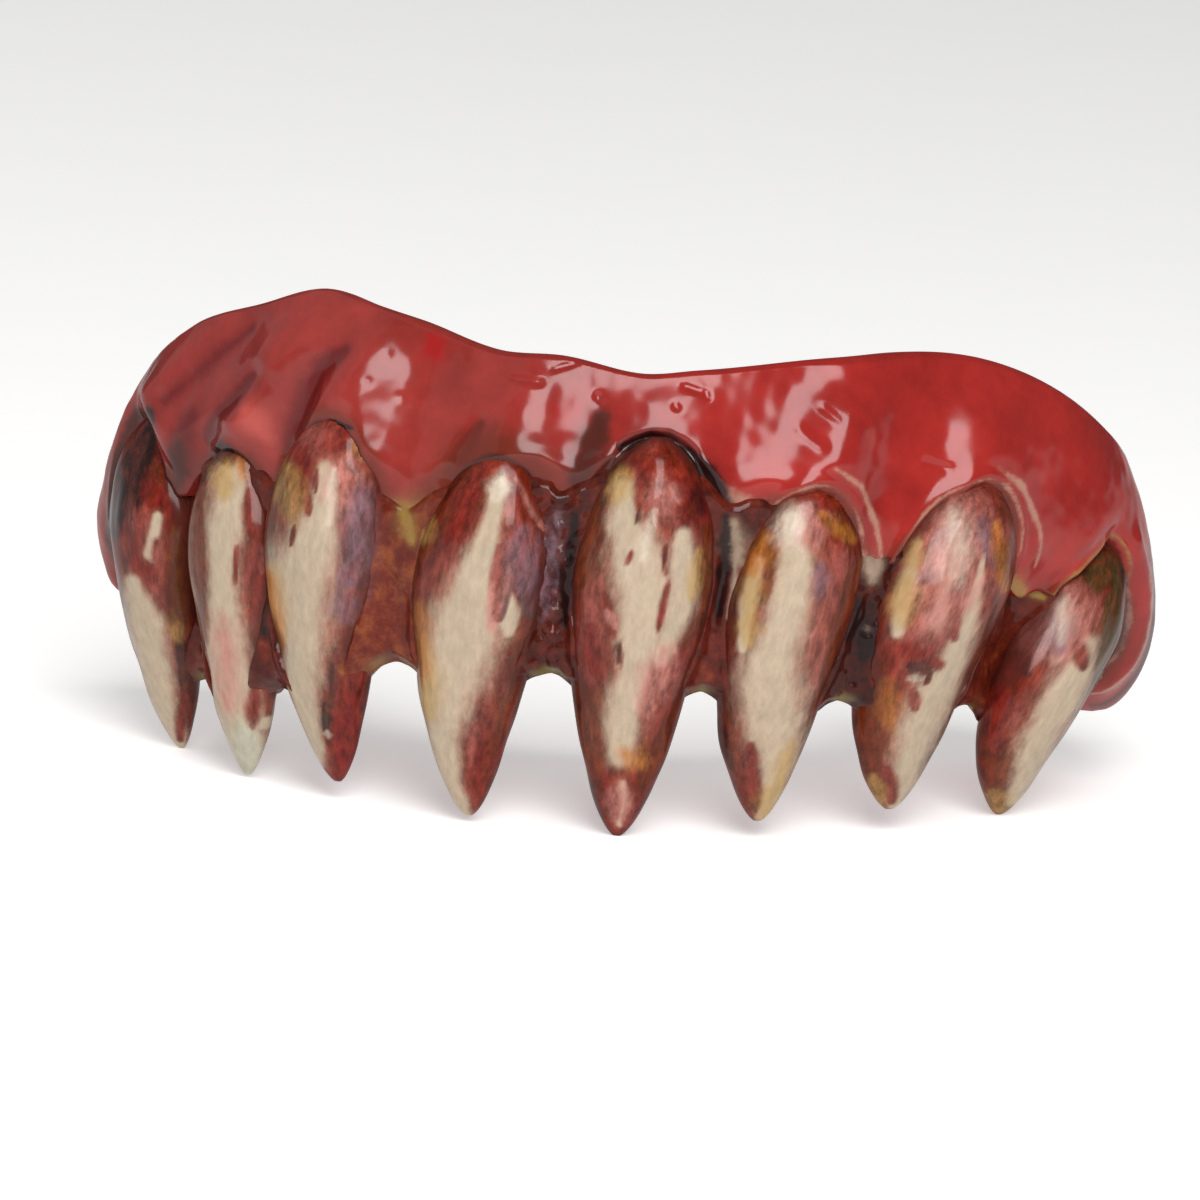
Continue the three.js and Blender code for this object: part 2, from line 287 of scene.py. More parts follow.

# Each fang's place on the arch and its stain. A stroke is a pigment, its width in mm, its cover, and its
# path: across the fang as seen from the front (-1 to 1), down it from the gum (0) to the tip (1), and the
# width there where it changes. The pale strokes are painted highlights where the fangs catch the light.
fangs = [
    {
        "neckAngle": -69, "tipAngle": -70, "bow": 0.6, "neckHeight": 19.4, "tipHeight": 0,
        "width": 8.0, "tipOut": -3.0, "collar": 0.1,
        "stain": [
            ("maroon", 3.4, 1, (-.35, 0), (0, .22)), ("rose", 1.4, 1, (-.3, .22), (-.35, .3)),
            ("maroon", 2.2, 1, (.1, .22), (.2, .5)), ("brown", 1.4, 1, (-.3, .08), (.15, .14)),
            ("ivory", 0, 1, (-.62, .46, .9), (-.5, .58, 2.3), (-.5, .7, 2.2), (-.55, .86, 1.7),
             (-.6, 1, 1.2)),
            ("ivory", 0, 1, (-.05, .24, .5), (-.2, .36, .7)), ("rose", 1, 1, (-.05, .32), (-.05, .52)),
            ("wine", 1.3, 1, (.55, .62), (.6, .9)), ("wine", .5, 1, (.25, .64), (.3, .8)),
            ("maroon", .8, 1, (.35, .8), (.05, .96)),
            ("black", 1.5, 1, (-.4, .02), (-.65, .14), (-.9, .32)),
            ("amber", .9, .85, (.3, .28), (.3, .56)), ("ochre", .8, 1, (.2, .54), (.25, .62)),
        ],
    },
    {
        "neckAngle": -50, "tipAngle": -52, "bow": 1.4, "neckHeight": 19.3, "tipHeight": .2,
        "width": 7.0, "tipOut": -3.2, "collar": 0.1,
        "stain": [
            ("ivory", 0, 1, (-.2, .04, 1.6), (-.2, .14, 2.1), (-.36, .22, 2.2), (-.45, .32, 2.2),
             (-.45, .46, 2.3), (-.45, .6, 2.7), (-.4, .74, 2.6), (-.25, .85, 2.8), (0, 1, 3)),
            ("ivory", 1, 1, (.55, .82), (.8, .8)), ("brown", 1, 1, (-.95, .1), (-1, .6)),
            ("maroon", 2.4, 1, (.6, .14), (.5, .58)), ("wine", 1.4, 1, (.65, .42), (.75, .68)),
            ("black", .7, 1, (.8, .5), (.9, .7)), ("maroon", 1, 1, (.3, .68), (.2, .82)),
            ("maroon", 1, 1, (.3, .08), (.25, .24)), ("rose", .5, 1, (.45, .24), (.4, .32)),
            ("maroon", .35, 1, (-.05, .24), (-.1, .36)), ("wine", 1.2, 1, (-.9, 0), (-.2, -.02)),
            ("ochre", 1, 1, (-.4, .02), (-.4, .1)), ("amber", .8, 1, (.05, 0), (.5, .04)),
            ("pale", .4, 1, (.6, .06), (.8, .1)), ("ochre", .5, 1, (.75, .12), (.9, .1)),
            ("blush", 2, .65, (-.4, .48), (-.55, .76)), ("sage", 2.4, 1, (0, .86), (.15, 1)),
        ],
    },
    {
        "neckAngle": -34.6, "tipAngle": -36.4, "bow": -1, "neckHeight": 22.2, "tipHeight": 1.1,
        "width": 7.8, "tipOut": -3.4, "collar": 0.05,
        "stain": [
            ("rose", 2.4, 1, (-.65, .06), (-.5, .02)), ("maroon", 1.8, 1, (-.75, .08), (-.45, .16)),
            ("maroon", 2.6, 1, (.4, .56), (.35, .95)), ("plum", 1.6, 1, (.5, .18), (.5, .36)),
            ("plum", 1.3, 1, (.8, .2), (.8, .42)),
            ("ivory", 0, 1, (-.15, .1, .9), (-.12, .2, 1.5), (-.25, .3, 2.8), (-.45, .42, 3.9),
             (-.55, .54, 3.6), (-.6, .64, 2.7), (-.65, .74, 1.9), (-.7, .84, 1.2), (-.75, .94, .7)),
            ("maroon", .6, 1, (-.45, .16), (-.35, .22)), ("maroon", .35, 1, (-.35, .1), (-.3, .16)),
            ("brown", .4, 1, (-.55, .26), (-.6, .32)), ("black", .25, 1, (.3, .22), (.3, .36)),
            ("black", .25, 1, (.7, .24), (.5, .38)), ("brown", 1.4, 1, (.85, .5), (.95, .58)),
            ("black", .5, 1, (-.1, .76), (-.2, .84)), ("wine", .7, 1, (.15, .64), (.05, .76)),
            ("maroon", 1.4, 1, (.1, .88), (-.1, 1)), ("ochre", 1.2, 1, (-.85, .12), (-.6, .24)),
            ("ochre", 1.2, .75, (-.85, .4), (-.95, .6)), ("amber", .8, .95, (-.97, .42), (-.95, .62)),
            ("ochre", .8, .75, (.5, .02), (.65, .06)), ("blush", 1.8, 1, (.25, .08), (.2, .2)),
            ("pale", .5, 1, (0, .1), (0, .24)), ("mauve", 1.7, 1, (.55, .16), (.6, .36)),
            ("mauve", 1.4, 1, (.3, .4), (.6, .36)), ("blush", .25, 1, (.5, .24), (.55, .34)),
            ("mauve", 1.3, 1, (.25, .44), (.4, .5)), ("amber", .5, 1, (.4, .64), (.35, .66)),
            ("pale", .3, 1, (-.1, .84), (-.1, .86)),
        ],
    },
    {
        "neckAngle": -14.5, "tipAngle": -18, "bow": -.9, "neckHeight": 21.3, "tipHeight": .4,
        "width": 7.6, "tipOut": -3.5, "collar": 0,
        "stain": [
            ("maroon", 1.8, 1, (-.55, .1), (-.75, .3)), ("rose", 2, 1, (.25, .1), (.3, .3)),
            ("maroon", 2.8, 1, (.45, .56), (.1, .86)),
            ("ivory", 0, 1, (.05, .04, .8), (0, .14, 1.1), (-.06, .24, 1.8), (-.12, .34, 2.9),
             (-.2, .45, 4.1), (-.35, .56, 4), (-.5, .66, 2.8), (-.6, .76, 1.8), (-.68, .9, 1.1),
             (-.65, 1, .8)),
            ("ivory", 1.1, 1, (.4, .34), (.5, .44)), ("maroon", 1.2, 1, (-.75, .3), (-.9, .4)),
            ("brown", 1.2, 1, (-.8, .12), (-.9, .26)), ("rose", .9, 1, (.2, .2), (.3, .4)),
            ("plum", .5, 1, (.4, .26), (.35, .4)), ("plum", 1.2, 1, (.75, .28), (.75, .38)),
            ("brown", 1.2, 1, (.75, .46), (.6, .5)), ("brown", .8, 1, (.8, .54), (.6, .88)),
            ("rose", .6, 1, (.2, .72), (0, .84)), ("mauve", 1.4, 1, (.55, .16), (.6, .3)),
            ("blush", .35, 1, (.4, .24), (.25, .44)), ("blush", .35, 1, (.15, .3), (.2, .43)),
            ("blush", .25, 1, (.45, .02), (.7, .1), (.9, .16)), ("pale", .9, 1, (.05, .02), (0, .07)),
            ("amber", 1.1, 1, (-.9, .4), (-.93, .6)), ("ochre", 1.2, 1, (-.85, .5), (-.8, .7)),
            ("ochre", .7, 1, (-1, .16), (-1, .22)),
        ],
    },
    {
        "neckAngle": 2.6, "tipAngle": .5, "bow": -.3, "neckHeight": 22.5, "tipHeight": 0,
        "width": 7.8, "tipOut": -3.5, "collar": -0.3,
        "stain": [
            ("maroon", 2, 1, (.7, .06), (.65, .18)), ("rose", 1.6, 1, (-.7, .3), (-.7, .56)),
            ("ivory", 0, 1, (-.55, .08, 1.3), (-.4, .16, 1.7), (-.1, .24, 3), (.05, .33, 3),
             (.05, .44, 2.4), (.03, .53, 1.8), (-.1, .63, 1.8), (-.1, .7, 1.9), (-.05, .77, 1.3)),
            ("ivory", 1, .8, (.05, .84), (.1, .96)),
            ("ivory", 0, 1, (.5, .18, .8), (.55, .26, 1.6), (.55, .36, 1.5), (.42, .5, .9)),
            ("maroon", .8, 1, (-.4, .02), (-.2, .12)), ("wine", .4, 1, (-.2, .12), (-.2, .15)),
            ("maroon", .35, 1, (-.2, .22), (-.25, .26)), ("brown", 1.4, 1, (-1, .14), (-.85, .32)),
            ("wine", 1.2, 1, (.8, .08), (.8, .12)), ("rose", 1, 1, (.3, .12), (.3, .18)),
            ("maroon", .35, 1, (.25, .2), (.3, .28)), ("maroon", .5, 1, (.35, .3), (.3, .42)),
            ("brown", 1, 1, (.85, .16), (.95, .38)), ("maroon", 1.1, 1, (-.5, .34), (-.35, .44)),
            ("maroon", 1.4, 1, (-.65, .44), (-.5, .56)), ("wine", .4, 1, (-.25, .46), (-.2, .52)),
            ("brown", 1.4, 1, (-.75, .6), (-.6, .86)), ("maroon", 1, 1, (-.35, .82), (-.25, .94)),
            ("maroon", 1.2, 1, (.7, .48), (.6, .72)), ("brown", 1.2, 1, (.9, .56), (.7, .86)),
            ("maroon", .8, 1, (.6, .88), (.5, .96)), ("ochre", 1, 1, (-.7, .04), (-.7, .1)),
            ("blush", 1.2, 1, (.1, .05), (.2, .12)), ("pale", .5, .9, (.05, .12), (-.05, .24)),
            ("ochre", .6, 1, (.75, .22), (.7, .34)), ("blush", .4, 1, (-.45, .38), (-.3, .42)),
            ("blush", 1.6, .85, (.45, .48), (.35, .64)), ("amber", 1.3, .9, (.05, .76), (.45, .78)),
            ("blush", 1.1, .8, (-.05, .84), (.05, .94)),
        ],
    },
    {
        "neckAngle": 20.2, "tipAngle": 17.8, "bow": -1.4, "neckHeight": 20.4, "tipHeight": 1.0,
        "width": 7.6, "tipOut": -3.5, "collar": 0.16,
        "stain": [
            ("maroon", 2.8, 1, (-.85, .46), (-.4, .8)), ("rose", 2.2, 1, (.6, .16), (.8, .56)),
            ("ivory", 0, 1, (-.3, .06, 1.2), (-.05, .18, 1.8), (0, .3, 2.3), (-.05, .42, 2.6),
             (-.08, .53, 3.2), (.08, .62, 3.2), (.25, .71, 2.9), (.4, .8, 2.1), (.5, .9, 1.3),
             (.5, .98, .8)),
            ("ivory", 0, .9, (-.64, .18, .7), (-.62, .3, 1.1), (-.56, .44, .7)),
            ("brown", .4, 1, (-.38, .2), (-.36, .3)), ("brown", .9, 1, (.9, .2), (1, .6)),
            ("brown", 1.8, 1, (-.9, .6), (-.55, .94)), ("maroon", 1.1, 1, (-.3, .74), (-.15, .94)),
            ("wine", .6, 1, (-1, .58), (-.85, .82)), ("black", .4, 1, (-.3, .94), (-.15, .96)),
            ("pale", 1.6, .85, (-.45, .04), (-.45, .1)), ("blush", 1.4, 1, (0, .04), (.25, .12)),
            ("amber", 1.4, .9, (-.65, .12), (-.7, .2)), ("ochre", 1, 1, (-.65, .22), (-.55, .32)),
            ("ochre", .9, 1, (-.55, .34), (-.5, .42)), ("mauve", .6, 1, (.35, .18), (.4, .28)),
            ("amber", .5, 1, (.3, .04), (.95, .12)), ("ochre", .9, 1, (.65, .74), (.7, .9)),
            ("ochre", 1, 1, (.4, .88), (.8, .98)),
        ],
    },
    {
        "neckAngle": 41, "tipAngle": 36, "bow": -2.8, "neckHeight": 20.2, "tipHeight": 1.3,
        "width": 8.8, "tipOut": -3.4, "collar": 0.18,
        "stain": [
            ("rose", 4.5, 1, (-.1, .06), (.1, .4)), ("brown", 2.6, 1, (-.6, .56), (-.3, .9)),
            ("ivory", 0, 1, (.5, .16, .2), (.55, .38, 1), (.55, .5, 1.6), (.45, .6, 2.6), (.42, .7, 2.4),
             (.42, .8, 2), (.45, .9, 1.3), (.45, .98, .8)),
            ("ivory", 0, .62, (-.3, .05, 2), (0, .14, 3.4), (.1, .26, 3.2), (.1, .36, 2)),
            ("ivory", 0, .9, (-.62, .14, .7), (-.5, .26, 1.2), (-.4, .4, .7)),
            ("maroon", .8, 1, (-.25, .22), (-.1, .32)), ("maroon", .8, 1, (.15, .24), (.45, .42)),
            ("maroon", .4, 1, (.3, .32), (.42, .42)), ("maroon", 1.3, 1, (-.2, .44), (.35, .5)),
            ("wine", .8, 1, (-.1, .5), (.25, .52)), ("wine", .4, 1, (.25, .53), (.25, .56)),
            ("rose", .8, 1, (.05, .58), (.2, .64)), ("maroon", 1.1, 1, (-.2, .84), (.05, .96)),
            ("blush", 3.6, 1, (-.15, .08), (0, .2)), ("blush", 3, 1, (.05, .2), (.1, .36)),
            ("ochre", 1, 1, (-.65, .14), (-.55, .2)), ("ochre", 1.2, 1, (-.55, .24), (-.35, .36)),
            ("pale", .4, 1, (-.05, .54), (.15, .54)), ("amber", 1.2, .75, (-.4, .56), (-.2, .7)),
            ("ochre", .7, 1, (-.6, .88), (-.8, .98)), ("mauve", .6, 1, (.35, .06), (.7, .2)),
            ("amber", .5, 1, (.65, .08), (.9, .28)),
            ("pale", 1.6, .62, (-.3, .05), (.05, .12), (.2, .24)),
        ],
    },
    {
        "neckAngle": 66, "tipAngle": 56, "bow": -4, "neckHeight": 15.4, "tipHeight": 0,
        "width": 8.6, "tipOut": -3.2, "collar": 0.3,
        "stain": [
            ("maroon", 2.6, 1, (-.75, .3), (-.65, .55)), ("brown", 2.4, 1, (-.7, .62), (-.2, .92)),
            ("rose", 2, 1, (-.3, .18), (.1, .24)),
            ("ivory", 0, 1, (.45, .3, 1.2), (.48, .42, 2.3), (.45, .52, 2.4), (.45, .64, 2.3),
             (.52, .78, 1.8), (.6, .92, 1)),
            ("ivory", 0, .7, (-.25, .16, 1.6), (-.05, .24, 2.6), (.1, .34, 1.6)),
            ("maroon", .9, 1, (.25, .28), (.55, .38)), ("rose", 1.2, 1, (-.55, .26), (-.35, .36)),
            ("wine", .6, 1, (-.6, .32), (-.3, .4)), ("maroon", 1.4, 1, (-.6, .5), (-.45, .68)),
            ("rose", 1, 1, (-.25, .56), (-.2, .62)), ("blush", 3, 1, (-.2, .14), (.05, .3)),
            ("mauve", 1.4, .9, (-.3, .2), (0, .3)), ("olive", 1.6, 1, (.05, .04), (.75, .06)),
            ("olive", 1, 1, (.8, .08), (.95, .44)), ("ochre", 1.2, 1, (-.35, .9), (.3, .98)),
            ("pale", 1.4, .55, (-.3, .14), (0, .28)),
        ],
    },
]


# width of a fang along its length as a share of its full width, 0 at the neck and 1 at the tip
def fangProfile(share):
    waist = fangForm["waist"]
    above = np.clip((waist - share) / waist, 0, 1)
    below = np.clip((share - waist) / (1 - waist), 0, 1)
    dome = (1 - above ** 2) ** fangForm["domePower"]
    taper = (1 - below ** fangForm["taperBend"]) ** fangForm["taperPower"]
    return np.where(share < waist, dome, taper)


def fangAxis(fang, share):
    bend = fang["bow"] * np.sin(np.pi * share ** fangForm["bowBend"])
    angle = fang["neckAngle"] + (fang["tipAngle"] - fang["neckAngle"]) * share + bend
    out = fangForm["neckOut"] + (fang["tipOut"] - fangForm["neckOut"]) * share ** fangForm["axisBend"]
    return angle, out


# how far out a face may come and stay hidden in the fangs, far inside where there is no fang
def hiddenFace(angle, height, margin):
    front = np.full(np.shape(angle), fangForm["farInside"])
    for fang in fangs:
        share = np.clip((fang["neckHeight"] - height) / (fang["neckHeight"] - fang["tipHeight"]), 0, 1)
        middle, out = fangAxis(fang, share)
        width = np.maximum(fangProfile(share) * fang["width"], tiny)
        across = (angle - middle) * arcPerDegree / (width / 2)
        shown = (np.abs(across) < 1) & (share > 0)
        bulge = fangForm["frontDepth"] * width * np.sqrt(np.clip(1 - across ** 2, 0, 1))
        front = np.where(shown, np.maximum(front, out + bulge), front)
    tuck = fangForm["tuckDepth"] * smoothStep(-margin, 0, fangForm["tuckReach"])
    return front - fangForm["tuckSkin"] - tuck


# Distance in mm along a face of the arch to the line where the nearest fang comes out of it, below 0 inside
# the fang, with the number of that fang.
def fangMargin(angle, height, faceAt):
    nearest = np.full(np.shape(angle), farAway)
    owner = np.zeros(np.shape(angle), int)
    share = np.linspace(fangForm["traceFrom"], fangForm["traceTo"], fangForm["traceSteps"])
    for number, fang in enumerate(fangs):
        reach = fang["neckHeight"] - fang["tipHeight"]

        # half the width of the fang where it cuts the face
        def halfAt(part, middle, out, level):
            depth = fangForm["frontDepth"] * fang["width"] * fangProfile(part)
            sunk = (faceAt(middle, level) - out) / np.maximum(depth, tiny)
            chord = np.sqrt(np.clip(1 - sunk ** 2, 0, 1))
            return np.where(sunk < 1, chord, -1) * fang["width"] / 2 * fangProfile(part)

        lineAngle, lineOut = fangAxis(fang, share)
        lineHeight = fang["neckHeight"] - reach * share
        half = halfAt(share, lineAngle, lineOut, lineHeight)
        shown = half > 0
        arc, level, half = lineAngle[shown] * arcPerDegree, lineHeight[shown], half[shown]
        close = np.abs(angle - fang["neckAngle"]) < fangForm["traceNear"]
        x, z = angle[close] * arcPerDegree, height[close]
        few = slice(None, None, fangForm["traceStride"])
        left = lineDistance(x, z, list(zip(arc[few] - half[few], level[few])))
        right = lineDistance(x, z, list(zip(arc[few] + half[few], level[few])))
        top = np.hypot(np.clip(np.abs(x - arc[0]) - half[0], 0, None), z - level[0])
        distance = np.minimum(np.minimum(left, right), top)
        here = np.clip((fang["neckHeight"] - z) / reach, fangForm["traceTop"], 1)
        middle, out = fangAxis(fang, here)
        inside = np.abs(x - middle * arcPerDegree) < halfAt(here, middle, out, z)
        distance = np.where(inside & (z < fang["neckHeight"]), -distance, distance)
        nearer = distance < nearest[close]
        nearest[close] = np.where(nearer, distance, nearest[close])
        owner[close] = np.where(nearer, number, owner[close])
    return nearest, owner


# Tooth acrylic: the stain's tones from deep to worn, and patterns with their patch size in mm
toothLook = {
    "tones": [(0.1, "#3A140A"), (0.3, "#641E0C"), (0.45, "#7A241A"), (0.58, "#8C3226"), (0.75, "#A0604E")],
    # sideDark: the stain runs darker towards the sides as seen from the front
    "cloudSize": 0.9091, "sideDark": -0.32,
    "wiped": (0.3, 0.65), "wipedMarks": 0.12,
    "rust": "#7E3014", "rustSize": 0.5882, "rustShown": (0.46, 0.66), "rustCover": 0.48, "rustNoise": 8.0,
    "mottleSize": 0.5, "mottleShown": (0.34, 0.66), "mottleLight": 1.08, "mottleDark": 0.42,
    # grime and painted shade for the joints to the gum and the band
    "grimeAndShade": "#48201A", "grimeAndShadeShown": (0.8, 1.35), "grimeAndShadeCover": 0.75, "grimeAndShadeCloud": 1.2,
    "speckSize": 0.3846, "speckShown": (0.3, 0.7), "speckDark": 0.88, "speckLight": 1.1, "speckDepth": 0.1,
}


# Cast tooth acrylic, stained by brush and wiped, then clear coated: the red-brown stain runs darker towards
# the sides as seen from the front, grime and painted shade darken the joints, and waxy ivory shows where it
# was wiped off.
def makeToothAcrylic():
    look = toothLook
    material, tree = startMaterial("toothAcrylic")
    place = addNode(tree, "Attribute", attribute_name="grain").outputs["Vector"]
    side = addNode(tree, "Attribute", attribute_name="side").outputs["Fac"]
    cloud = addNode(tree, "TexNoise", {
        "Vector": place, "Scale": patternScale(look["cloudSize"]), "Detail": 6.0, "Roughness": 0.65,
    }).outputs["Fac"]
    # darker towards the sides as seen from the front
    depth = addNode(tree, "Math", {0: side, 1: look["sideDark"], 2: cloud}, operation="MULTIPLY_ADD")
    stain = addNode(tree, "ValToRGB", {"Fac": depth.outputs[0]})
    setTones(stain.color_ramp, look["tones"])
    colour = layPigments(tree, stain.outputs["Color"], fangForm["pigments"], place)
    # the stain dries in rusty patches and dark mottles, and hardly marks the wiped ivory
    wiped = addNode(tree, "Attribute", attribute_name="ivory").outputs["Fac"]
    stained = addNode(tree, "MapRange", {
        "Value": wiped, "From Min": look["wiped"][0], "From Max": look["wiped"][1],
        "To Min": 1.0, "To Max": look["wipedMarks"],
    }).outputs[0]
    patch = addNode(tree, "TexNoise", {
        "Vector": place, "Scale": patternScale(look["rustSize"]), "Detail": 5.0, "Roughness": 0.7,
        "W": look["rustNoise"],
    }, noise_dimensions="4D").outputs["Fac"]
    rusty = addNode(tree, "MapRange", {
        "Value": patch, "From Min": look["rustShown"][0], "From Max": look["rustShown"][1],
        "To Max": look["rustCover"],
    }).outputs[0]
    rusty = addNode(tree, "Math", {0: rusty, 1: stained}, operation="MULTIPLY").outputs[0]
    colour = addNode(tree, "Mix", {
        mixFactor: rusty, mixFrom: colour, mixTo: toLinear(look["rust"]),
    }, data_type="RGBA").outputs[mixResult]
    mottle = addNode(tree, "TexNoise", {
        "Vector": place, "Scale": patternScale(look["mottleSize"]), "Detail": 5.0, "Roughness": 0.68,
    }).outputs["Fac"]
    dried = addNode(tree, "MapRange", {
        "Value": mottle, "From Min": look["mottleShown"][0], "From Max": look["mottleShown"][1],
        "To Min": look["mottleLight"], "To Max": look["mottleDark"],
    }).outputs[0]
    dried = addNode(tree, "Mix", {
        mixFactor: stained, mixFrom: (1, 1, 1, 1), mixTo: dried,
    }, data_type="RGBA").outputs[mixResult]
    colour = addNode(tree, "Mix", {
        mixFactor: 1.0, mixFrom: colour, mixTo: dried,
    }, data_type="RGBA", blend_type="MULTIPLY").outputs[mixResult]
    # grime and painted shade: darker where the fang lies back in its joints to the gum and the band
    jointShade = addNode(tree, "Attribute", attribute_name="jointShade").outputs["Fac"]
    grimeAndShade = addNode(tree, "Math", {0: cloud, 1: look["grimeAndShadeCloud"], 2: jointShade}, operation="MULTIPLY_ADD")
    cover = addNode(tree, "MapRange", {
        "Value": grimeAndShade.outputs[0], "From Min": look["grimeAndShadeShown"][0], "From Max": look["grimeAndShadeShown"][1],
        "To Max": look["grimeAndShadeCover"],
    }).outputs[0]
    colour = addNode(tree, "Mix", {
        mixFactor: cover, mixFrom: colour, mixTo: toLinear(look["grimeAndShade"]),
    }, data_type="RGBA").outputs[mixResult]
    speck = addNode(tree, "TexNoise", {
        "Vector": place, "Scale": patternScale(look["speckSize"]), "Detail": 4.0, "Roughness": 0.6,
    }).outputs["Fac"]
    shade = addNode(tree, "MapRange", {
        "Value": speck, "From Min": look["speckShown"][0], "From Max": look["speckShown"][1],
        "To Min": look["speckDark"], "To Max": look["speckLight"],
    }).outputs[0]
    colour = addNode(tree, "Mix", {
        mixFactor: 1.0, mixFrom: colour, mixTo: shade,
    }, data_type="RGBA", blend_type="MULTIPLY").outputs[mixResult]
    bump = addNode(tree, "Bump", {"Height": speck, "Strength": 0.2, "Distance": look["speckDepth"] * mm})
    surface = addNode(tree, "BsdfPrincipled", {
        "Base Color": colour, "Roughness": 0.36, "IOR": 1.49, "Specular IOR Level": 0.03, "Coat Weight": 0.3,
        "Coat Roughness": 0.12, "Normal": bump.outputs[0],
    })
    addNode(tree, "OutputMaterial", {"Surface": surface.outputs[0]})
    return material


def buildFang(number, fang, material):
    form = fangForm
    step = np.linspace(0, 1, form["rings"])[:, None]
    spread = (1 - np.cos(np.pi * step)) / 2
    share = form["endShare"] + (1 - 2 * form["endShare"]) * spread
    turn = np.linspace(0, 2 * np.pi, form["sides"], endpoint=False)[None, :]
    profile = fangProfile(share)
    angle, axisOut = fangAxis(fang, share)
    half = profile * fang["width"] / 2
    depth = profile * fang["width"] * np.where(np.sin(turn) > 0, form["frontDepth"], form["backDepth"])
    length = fang["neckHeight"] - fang["tipHeight"]
    height = fang["neckHeight"] - length * spread
    # the surface as seen from the front, for the paint
    facing = np.radians(angle)
    seenDepth = profile * fang["width"] * form["frontDepth"] * np.sin(facing)
    seenHalf = np.hypot(half * np.cos(facing), seenDepth)
    across = (half * np.cos(turn) * np.cos(facing) + depth * np.sin(turn) * np.sin(facing)) / seenHalf
    down = (share - form["gumShare"]) / (1 - form["gumShare"]) + 0 * across

    def seenAt(part):
        return np.interp(form["gumShare"] + part * (1 - form["gumShare"]), share[:, 0], seenHalf[:, 0])

    strokes = [(name, width, cover, *[(u * seenAt(v), v * length, *w) for u, v, *w in path])
               for name, width, cover, *path in fang["stain"]]
    masks = brushPaint(across * seenHalf, down * length, strokes, form["pigments"])
    # slight lengthwise flutes and lumps from hand carving
    along = height * form["fluteStretch"] + form["fluteStep"] * number
    flow = np.stack(np.broadcast_arrays(half * np.cos(turn), depth * np.sin(turn), along), -1)
    relief = form["fluteLift"] * lumps(flow, form["fluteSize"], form["fluteSeed"] + number)
    relief = relief + form["lumpLift"] * lumps(flow, form["lumpSize"], form["lumpSeed"] + number)
    relief = relief * smoothStep(profile, *form["carvedFrom"])
    out = axisOut + (depth + relief) * np.sin(turn)
    points = onArch(angle, out, (half + relief) * np.cos(turn), height)
    masks["side"] = across ** 2
    masks["jointShade"] = smoothStep(form["jointLevel"] - out, 0, form["jointReach"])
    masks["jointShade"] = masks["jointShade"] * smoothStep(height, *form["jointFoot"])
    faces = ringFaces(form["rings"], form["sides"])
    piece = makePiece(f"fang{number}", f"fang_{number}", material, points, faces, masks)
    grain = piece.data.attributes.new("grain", "FLOAT_VECTOR", "POINT")  # the paint runs along the flutes
    grain.data.foreach_set("vector", np.ravel(flow * mm))


toothAcrylic = makeToothAcrylic()
for number, fang in enumerate(fangs, 1):
    buildFang(number, fang, toothAcrylic)
print("fangs built")


